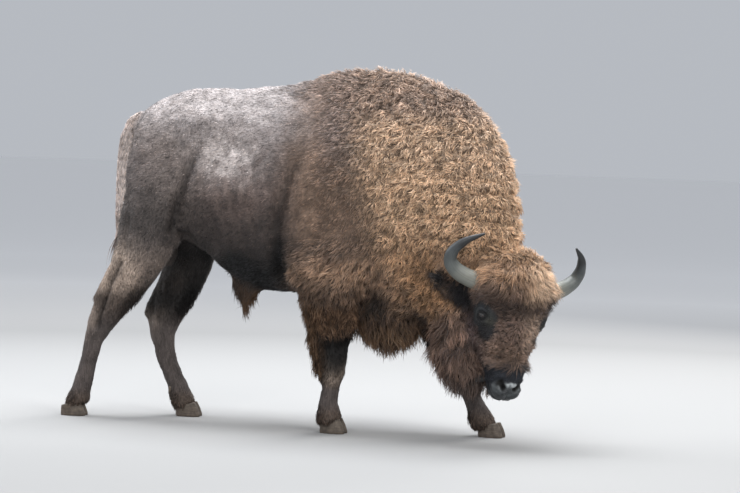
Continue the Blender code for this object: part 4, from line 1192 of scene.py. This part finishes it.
class Nodes:
    """A node material, with short ways to add and link its nodes."""

    def __init__(self, name):
        self.material = bpy.data.materials.new(name)
        self.material.use_nodes = True
        self.tree = self.material.node_tree
        self.shader = self.tree.nodes["Principled BSDF"]

    def fill(self, socket, value):
        if isinstance(value, bpy.types.NodeSocket):
            self.tree.links.new(value, socket)
        else:
            socket.default_value = value

    def add(self, kind, inputs=(), **settings):
        node = self.tree.nodes.new("ShaderNode" + kind)
        for key, value in settings.items():
            setattr(node, key, value)
        for key, value in dict(inputs).items():
            self.fill(node.inputs[key], value)
        return node

    def set(self, **values):
        for key, value in values.items():
            self.fill(self.shader.inputs[key.replace("_", " ")], value)

    def attribute(self, name):
        return self.add("Attribute", attribute_name=name).outputs["Fac"]

    def hair(self):
        return self.add("VertexColor", layer_name="hair").outputs["Color"]

    def place(self):
        return self.add("TexCoord").outputs["Object"]

    def ramp(self, factor, *stops):
        node = self.add("ValToRGB", {"Fac": factor})
        elements = node.color_ramp.elements
        while len(elements) < len(stops):
            elements.new(0.5)
        for element, (place, colour) in zip(elements, stops):
            element.position = place
            element.color = (*colour, 1)
        return node.outputs["Color"]

    def mix(self, factor, a, b, blend="MIX"):
        node = self.add("Mix", {0: factor, 6: a, 7: b}, data_type="RGBA", blend_type=blend)
        return node.outputs[2]

    def multiply(self, a, b):
        return self.mix(1.0, a, b, "MULTIPLY")

    def math(self, operation, *values):
        return self.add("Math", dict(enumerate(values)), operation=operation).outputs[0]

    def between(self, value, low, high):
        return self.add("MapRange", {"Value": value, "To Min": low, "To Max": high}).outputs["Result"]

    def bump(self, height, strength, distance, under=None):
        inputs = {"Height": height, "Strength": strength, "Distance": distance}
        if under is not None:
            inputs["Normal"] = under
        return self.add("Bump", inputs).outputs["Normal"]

    def noise(self, scale, detail, **inputs):
        return self.add("TexNoise", {"Scale": scale, "Detail": detail, **inputs}).outputs["Fac"]

    def stretched(self, vector, amounts):
        return self.add("Mapping", {"Vector": vector, "Scale": amounts}).outputs["Vector"]

    def body_noise(self, scale, amounts=(1.0, 1.0, 1.0), detail=4.0):
        """Noise that is set by the place on the body, and runs along the axes with small amounts."""
        return self.noise(scale, detail, Vector=self.stretched(self.place(), amounts), Roughness=0.6)

    def strand_noise(self, uv_map, across, along, detail):
        """Noise that is set by a UV map, finer across a strand than along it."""
        strand = self.add("UVMap", uv_map=uv_map).outputs["UV"]
        return self.noise(1.0, detail, Vector=self.stretched(strand, (across, along, 1.0)))


def coat_material(name, sheen, specular):
    n = Nodes(name)
    strands = n.strand_noise("strand", 5.5, 0.7, 2.0)
    n.set(Base_Color=n.multiply(n.hair(), n.ramp(strands, (0.30, grey(0.62)), (0.70, grey(1.30)))))
    n.set(Normal=n.bump(strands, 0.55, 0.0012))
    n.set(Roughness=0.55, Specular_IOR_Level=specular)
    n.set(Sheen_Weight=sheen, Sheen_Roughness=0.45, Sheen_Tint=(0.92, 0.94, 1.0, 1))
    return n.material


def skin_material():
    """Short hair seen between the tufts, and the wet skin of the nose, with a painted highlight on the pad and
    painted shade in the nostrils.
    """
    n = Nodes("skin")
    bare = n.attribute("bare")
    lying, hanging = n.body_noise(26.0, (1.0, 7.0, 9.0)), n.body_noise(26.0, (8.0, 8.0, 1.0))
    hairs = n.add("Mix", {0: n.attribute("upright"), 2: lying, 3: hanging}).outputs[0]
    fur = n.multiply(n.hair(), n.ramp(hairs, (0.32, grey(0.38)), (0.68, grey(1.05))))
    pebbles = n.add("TexVoronoi", {"Scale": 330.0}, feature="F1").outputs["Distance"]
    wet = n.ramp(n.noise(45.0, 4.0), (0.35, (0.018, 0.020, 0.023)), (0.70, (0.062, 0.069, 0.072)))
    # painted highlight along the nose pad's upper edge
    wet = n.mix(n.attribute("rim"), wet, (0.42, 0.45, 0.46, 1))
    # painted shade: the nostrils are near black inside
    wet = n.mix(n.attribute("pit"), wet, (0.004, 0.004, 0.004, 1))
    n.set(Base_Color=n.mix(bare, fur, wet))
    n.set(Roughness=n.between(n.attribute("shine"), 0.75, 0.36), Specular_IOR_Level=0.34)
    n.set(Normal=n.bump(n.multiply(pebbles, bare), 1.0, 0.0020, n.bump(hairs, 0.5, 0.003)))
    return n.material


def eye_material():
    """A wide pupil in a brown iris with a dark edge. The object's own Z is the way it looks."""
    n = Nodes("eye")
    axes = n.add("SeparateXYZ", {"Vector": n.place()}).outputs
    flat = n.add("CombineXYZ", {"X": n.math("MULTIPLY", axes["X"], 0.62), "Y": axes["Y"]}).outputs[0]
    away = n.add("VectorMath", {0: flat}, operation="LENGTH").outputs["Value"]
    ragged = n.math("MULTIPLY_ADD", n.noise(260.0, 3.0), 0.0014, away)
    n.set(Base_Color=n.ramp(
        n.math("MULTIPLY", ragged, 45.0),
        (0.22, (0.003, 0.003, 0.004)), (0.27, (0.030, 0.012, 0.005)),
        (0.50, (0.060, 0.026, 0.010)), (0.58, (0.012, 0.007, 0.005)), (0.74, (0.060, 0.045, 0.036)),
    ))
    n.set(Roughness=0.20, Specular_IOR_Level=0.35, Coat_Weight=0.35, Coat_Roughness=0.04)
    return n.material


def lid_material():
    n = Nodes("lid")
    mottle = n.body_noise(120.0, detail=3.0)
    n.set(Base_Color=n.ramp(mottle, (0.30, (0.010, 0.010, 0.011)), (0.70, (0.040, 0.040, 0.042))))
    n.set(Roughness=0.38, Specular_IOR_Level=0.5, Normal=n.bump(mottle, 0.4, 0.0006))
    return n.material


def horn_material():
    """Grey horn, paler at its root and near black at its tip, with grain along it and low rings across it."""
    n = Nodes("horn")
    body = n.ramp(
        n.math("MULTIPLY_ADD", n.body_noise(14.0), 0.30, n.attribute("along")),
        (0.12, (0.105, 0.092, 0.072)), (0.40, (0.200, 0.200, 0.168)), (0.66, (0.105, 0.115, 0.108)),
        (0.90, (0.045, 0.052, 0.056)), (1.10, (0.015, 0.016, 0.018)),
    )
    grain = n.strand_noise("grain", 22.0, 1.6, 4.0)
    rings = n.strand_noise("grain", 0.6, 26.0, 2.0)
    n.set(Base_Color=n.multiply(body, n.ramp(grain, (0.28, grey(0.72)), (0.62, grey(1.08)))))
    n.set(Roughness=n.between(grain, 0.62, 0.34))
    n.set(Normal=n.bump(grain, 0.2, 0.0010, n.bump(rings, 0.35, 0.0025)))
    return n.material


def hoof_material():
    n = Nodes("hoof")
    layers, chips = n.body_noise(24.0, (1.0, 1.0, 5.0)), n.body_noise(60.0, (1.0, 1.0, 0.4))
    body = n.ramp(layers, (0.30, (0.050, 0.038, 0.029)), (0.70, (0.118, 0.091, 0.068)))
    n.set(Base_Color=n.multiply(body, n.ramp(chips, (0.30, grey(0.65)), (0.65, grey(1.15)))))
    n.set(Roughness=n.between(chips, 0.80, 0.50))
    n.set(Normal=n.bump(chips, 0.4, 0.0015, n.bump(layers, 0.35, 0.0015)))
    return n.material


# ---- eyes, lids, horns and hooves ------------------------------------------------------------------------
def eyeball(word, side, material):
    """A ball with a bulged cornea. Its own Z looks out, and its X runs to the front corner of the lids."""
    gaze, front, _ = eye_axes(side)
    bm = bmesh.new()
    bmesh.ops.create_uvsphere(bm, u_segments=48, v_segments=32, radius=EYE_RADIUS)
    for vert in bm.verts:
        reach = math.hypot(vert.co.x, vert.co.y)
        vert.co.z += CORNEA_HEIGHT * math.exp(-((reach / CORNEA_WIDTH) ** 2)) * (vert.co.z > 0)
    obj = object_from("eyeball_" + word, bm)
    obj.data.shade_smooth()
    axes = Matrix((front, np.cross(gaze, front), gaze)).transposed().to_4x4()
    obj.matrix_world = Matrix.Translation(Vector(EYES[side])) @ axes
    unwrap(obj)
    dress(obj, material, "eye", "eye_" + word)


def tube(line, radii, normals, sides, closed=False):
    """Points and triangles of a round tube along a line of points."""
    count = len(line)
    ahead = np.roll(line, -1, 0) - np.roll(line, 1, 0)
    if not closed:
        ahead[0], ahead[-1] = line[1] - line[0], line[-1] - line[-2]
    ahead = unit(ahead)
    side = unit(np.cross(ahead, normals))
    up = np.cross(side, ahead)
    turn = np.arange(sides) / sides * 2 * math.pi
    wheel = side[:, None] * np.cos(turn)[None, :, None] + up[:, None] * np.sin(turn)[None, :, None]
    places = (line[:, None] + wheel * radii[:, None, None]).reshape(-1, 3)
    triangles = []
    for i in range(count if closed else count - 1):
        here, there = i * sides, (i + 1) % count * sides
        for k in range(sides):
            a, b, c, d = here + k, here + (k + 1) % sides, there + k, there + (k + 1) % sides
            triangles += [(a, b, c), (b, d, c)]
    if not closed:
        for start, flip in ((0, 1), ((count - 1) * sides, -1)):
            for k in range(1, sides - 1):
                triangles.append((start, start + k + 1, start + k)[::flip])
    return places, np.array(triangles)


def lid_rims(material):
    """The thick edges of the lids, thickest on the upper one."""
    places, triangles = [], []
    turn = np.linspace(0, 2 * math.pi, 72, endpoint=False)
    u, above = LID_LONG * np.cos(turn), np.sin(turn)
    v = slit_height(u, above > 0) * np.sign(above)
    g = np.sqrt(np.maximum((EYE_RADIUS + 0.0008) ** 2 - u**2 - v**2, 0.0))
    radii = LID_THICK * (0.75 + 0.45 * np.maximum(above, 0))
    for side, centre in EYES.items():
        gaze, front, up = eye_axes(side)
        line = centre + gaze * g[:, None] + front * u[:, None] + up * v[:, None]
        rim, faces = tube(line, radii, unit(line - centre), 10, closed=True)
        triangles.append(faces + sum(len(x) for x in places))
        places.append(rim)
    obj = new_mesh("lids", np.concatenate(places), np.concatenate(triangles))
    unwrap(obj)
    dress(obj, material, "bare nose")


def horn(word, side, material):
    """A horn with low growth rings at its root, run out to a worn tip."""
    rows = smooth_rows([(*place, radius) for place, radius in HORN], 24)
    line = np.array([on_side(place, side) for place in rows[:, :3]])
    along = np.linspace(0, 1, len(line))
    ring_height, sides = 0.0005, 40
    rings = ring_height * np.sin(along * 140 + 2 * np.sin(along * 31)) * ramp(along, 0.55, 0.15)
    rings += ring_height * np.sin(along * 47 + 1)
    radii = rows[:, 3] + rings * ramp(along, 0.98, 0.9)
    obj = new_mesh("horn_sheath_" + word, *tube(line, radii, np.broadcast_to(OUT, line.shape), sides))
    set_values(obj.data, "along", np.repeat(along, sides))
    corner = numbers_of(obj.data.loops, "vertex_index", 1, np.int32)[:, 0]
    unwrap(obj)
    around = np.sin((corner % sides) / sides * 2 * math.pi)
    set_uv(obj.data, "grain", np.stack((around, along[corner // sides]), 1))
    dress(obj, material, "horn", "horn_" + word)


def worn(node, cell):
    """A claw or dewclaw with its edges worn round, before it is placed. Returns the object and its points."""
    obj = remeshed(from_nodes("horny_" + node, [node]), cell)
    points = points_of(obj.data)
    low = points[:, 2].min()
    points = eased(points, edges_of(obj.data), 1.0, 5, 0.5)
    points[:, 2] = np.maximum(points[:, 2], low)
    return obj, points


def claw(node, material):
    cell = 0.0030
    obj, points = worn(node, cell)
    low = points[:, 2].min()
    points[points[:, 2] < low + cell * 0.9, 2] = low
    finish_hoof(obj, points, node, material)


def dewclaw(node, material):
    """A dewclaw, drawn in towards its foot and hanging down."""
    shrunk, droop, inward, root_depth = 0.64, math.radians(40), 0.014, 0.020
    obj, points = worn(node, 0.0025)
    middle = points.mean(axis=0)
    foot = min(FEET, key=lambda place: math.hypot(place[0] - middle[0], place[1] - middle[1]))
    outward = unit(np.array((middle[0] - foot[0], middle[1] - foot[1], 0.0)))
    root = middle - outward * root_depth
    away = (points - root) * shrunk
    reach, rise = away @ outward, away[:, 2]
    points = root + away + np.outer(reach * (math.cos(droop) - 1) + rise * math.sin(droop), outward)
    points[:, 2] += rise * (math.cos(droop) - 1) - reach * math.sin(droop)
    finish_hoof(obj, points - outward * inward, node, material)


def finish_hoof(obj, points, node, material):
    set_points(obj.data, points)
    obj.data.shade_smooth()
    unwrap(obj)
    dress(obj, material, "hoof", node)


# ---- putting it together ---------------------------------------------------------------------------------
def finish_skin(obj, f):
    """The colour and the marks that the skin's material reads. Under long hair the skin is darkened as painted
    shade.
    """
    under = f.hair * (1 - WOOL_SHADE * ramp(f.coat[:, LENGTH], 0.020, 0.034))[:, None]
    set_hair(obj.data, np.clip(under, 0, 1))
    set_values(obj.data, "upright", abs(f.lie[:, 2]))
    set_values(obj.data, "bare", f.bare)
    set_values(obj.data, "pit", f.pit)
    set_values(obj.data, "rim", pad_highlight(f))
    set_values(obj.data, "shine", f.bare * (1 - np.clip(f.pit * 1.5, 0, 1)))
    dress(obj, skin_material(), "short coat", *FLESH)


def grow_coat(roots):
    """All the tufts, sorted into pieces and those into parts that run from the tail to the head."""
    looks = {False: coat_material("hair", 0.07, 0.34), True: coat_material("leg hair", 0.0, 0.16)}
    on_legs, hanging, length = roots.of_kinds(LEGS), roots.of_kinds(LONG), roots.coat[:, LENGTH]
    for name, (least, most), rings, slot, of_legs, of_long in PIECES:
        mine = (on_legs == of_legs) & (hanging == of_long) & (length >= least) & (length < most)
        mine = np.flatnonzero(mine)
        mine = mine[np.argsort(roots.along[mine], kind="stable")]
        parts = max(1, math.ceil(len(mine) * len(tuft_faces(rings)) / MOST_TRIANGLES))
        for i, chosen in enumerate(np.array_split(mine, parts)):
            dress(grow(f"{name}_{i + 1}", roots, chosen, rings), looks[of_legs], slot)


skin_obj, fields = build_skin()
finish_skin(skin_obj, fields)
grow_coat(Roots(skin_obj, fields))
eye_look, horn_look, hoof_look = eye_material(), horn_material(), hoof_material()
for word, side in (("right", 1), ("left", -1)):
    eyeball(word, side, eye_look)
    horn(word, side, horn_look)
lid_rims(lid_material())
for node in sorted(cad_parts):
    if node.startswith("claw"):
        claw(node, hoof_look)
    elif node.startswith("dewclaw"):
        dewclaw(node, hoof_look)


# ---- floor, light and camera -----------------------------------------------------------------------------
FLOOR_TONES = ((0.0, 0.29), (0.38, 0.36), (0.70, 0.85), (1.0, 0.96))
FLOOR_MIDDLE, FLOOR_NEAR, FLOOR_FAR = (0.5, -2.5, 0.0), 2.0, 18.0
# name, place, what it points at, size, power and colour
LAMPS = (
    ("sky", (0.2, 0.9, 6.2), (0.0, 0.0, 1.0), (4.5, 3.5), 680, (0.96, 0.98, 1.0)),
    ("back", (3.5, 5.0, 4.2), (0.2, 0.0, 1.2), (3.0, 2.5), 250, (1.0, 0.98, 0.95)),
    ("tail side", (-5.5, 2.0, 4.0), (-0.4, 0.0, 1.0), (3.0, 2.5), 220, (0.97, 0.98, 1.0)),
    ("front", (-3.0, -7.5, 4.2), (0.2, 0.0, 0.8), (4.0, 3.0), 300, (1.0, 0.99, 0.97)),
    ("head side", (5.0, -6.5, 4.6), (0.8, -0.3, 0.9), (3.5, 3.0), 370, (1.0, 0.98, 0.95)),
)
LENS = 114.96
CAMERA_PLACE = (0.2494, -11.8582, 1.5)
LOOKS_DOWN, ROLL = math.radians(2.728), math.radians(2.0)


def backdrop():
    """A wide pale floor, darker in the middle, where the lamps are bright."""
    bm = bmesh.new()
    bmesh.ops.create_circle(bm, cap_ends=True, segments=96, radius=90.0)
    obj = object_from("floor", bm)
    n = Nodes("floor")
    away = n.add("VectorMath", {0: n.place(), 1: FLOOR_MIDDLE}, operation="DISTANCE").outputs["Value"]
    limits = {"Value": away, "From Min": FLOOR_NEAR, "From Max": FLOOR_FAR}
    share = n.add("MapRange", limits).outputs["Result"]
    n.set(Base_Color=n.ramp(share, *((place, grey(tone)) for place, tone in FLOOR_TONES)), Roughness=0.95)
    obj.data.materials.append(n.material)


def lamp(name, place, target, size, power, colour):
    light = bpy.data.lights.new(name, "AREA")
    light.shape = "RECTANGLE"
    light.size, light.size_y = size
    light.energy = power
    light.color = colour
    obj = placed(name, light)
    obj.location = place
    obj.rotation_euler = (Vector(target) - Vector(place)).to_track_quat("-Z", "Y").to_euler()


def sky_light():
    world = bpy.data.worlds.new("world")
    bpy.context.scene.world = world
    world.use_nodes = True
    background = world.node_tree.nodes["Background"].inputs
    background["Color"].default_value = (0.84, 0.88, 0.95, 1)
    background["Strength"].default_value = 0.56


def camera():
    data = bpy.data.cameras.new("camera")
    data.sensor_width = 36
    data.lens = LENS
    obj = placed("camera", data)
    ahead = Vector((0, math.cos(LOOKS_DOWN), -math.sin(LOOKS_DOWN)))
    level_up = Vector((0, math.sin(LOOKS_DOWN), math.cos(LOOKS_DOWN)))
    side = Vector((1, 0, 0)) * math.cos(ROLL) + level_up * math.sin(ROLL)
    axes = Matrix((side, side.cross(ahead), -ahead)).transposed().to_4x4()
    obj.matrix_world = Matrix.Translation(CAMERA_PLACE) @ axes
    bpy.context.scene.camera = obj


backdrop()
for row in LAMPS:
    lamp(*row)
sky_light()
camera()
bpy.context.scene.view_settings.view_transform = "Standard"
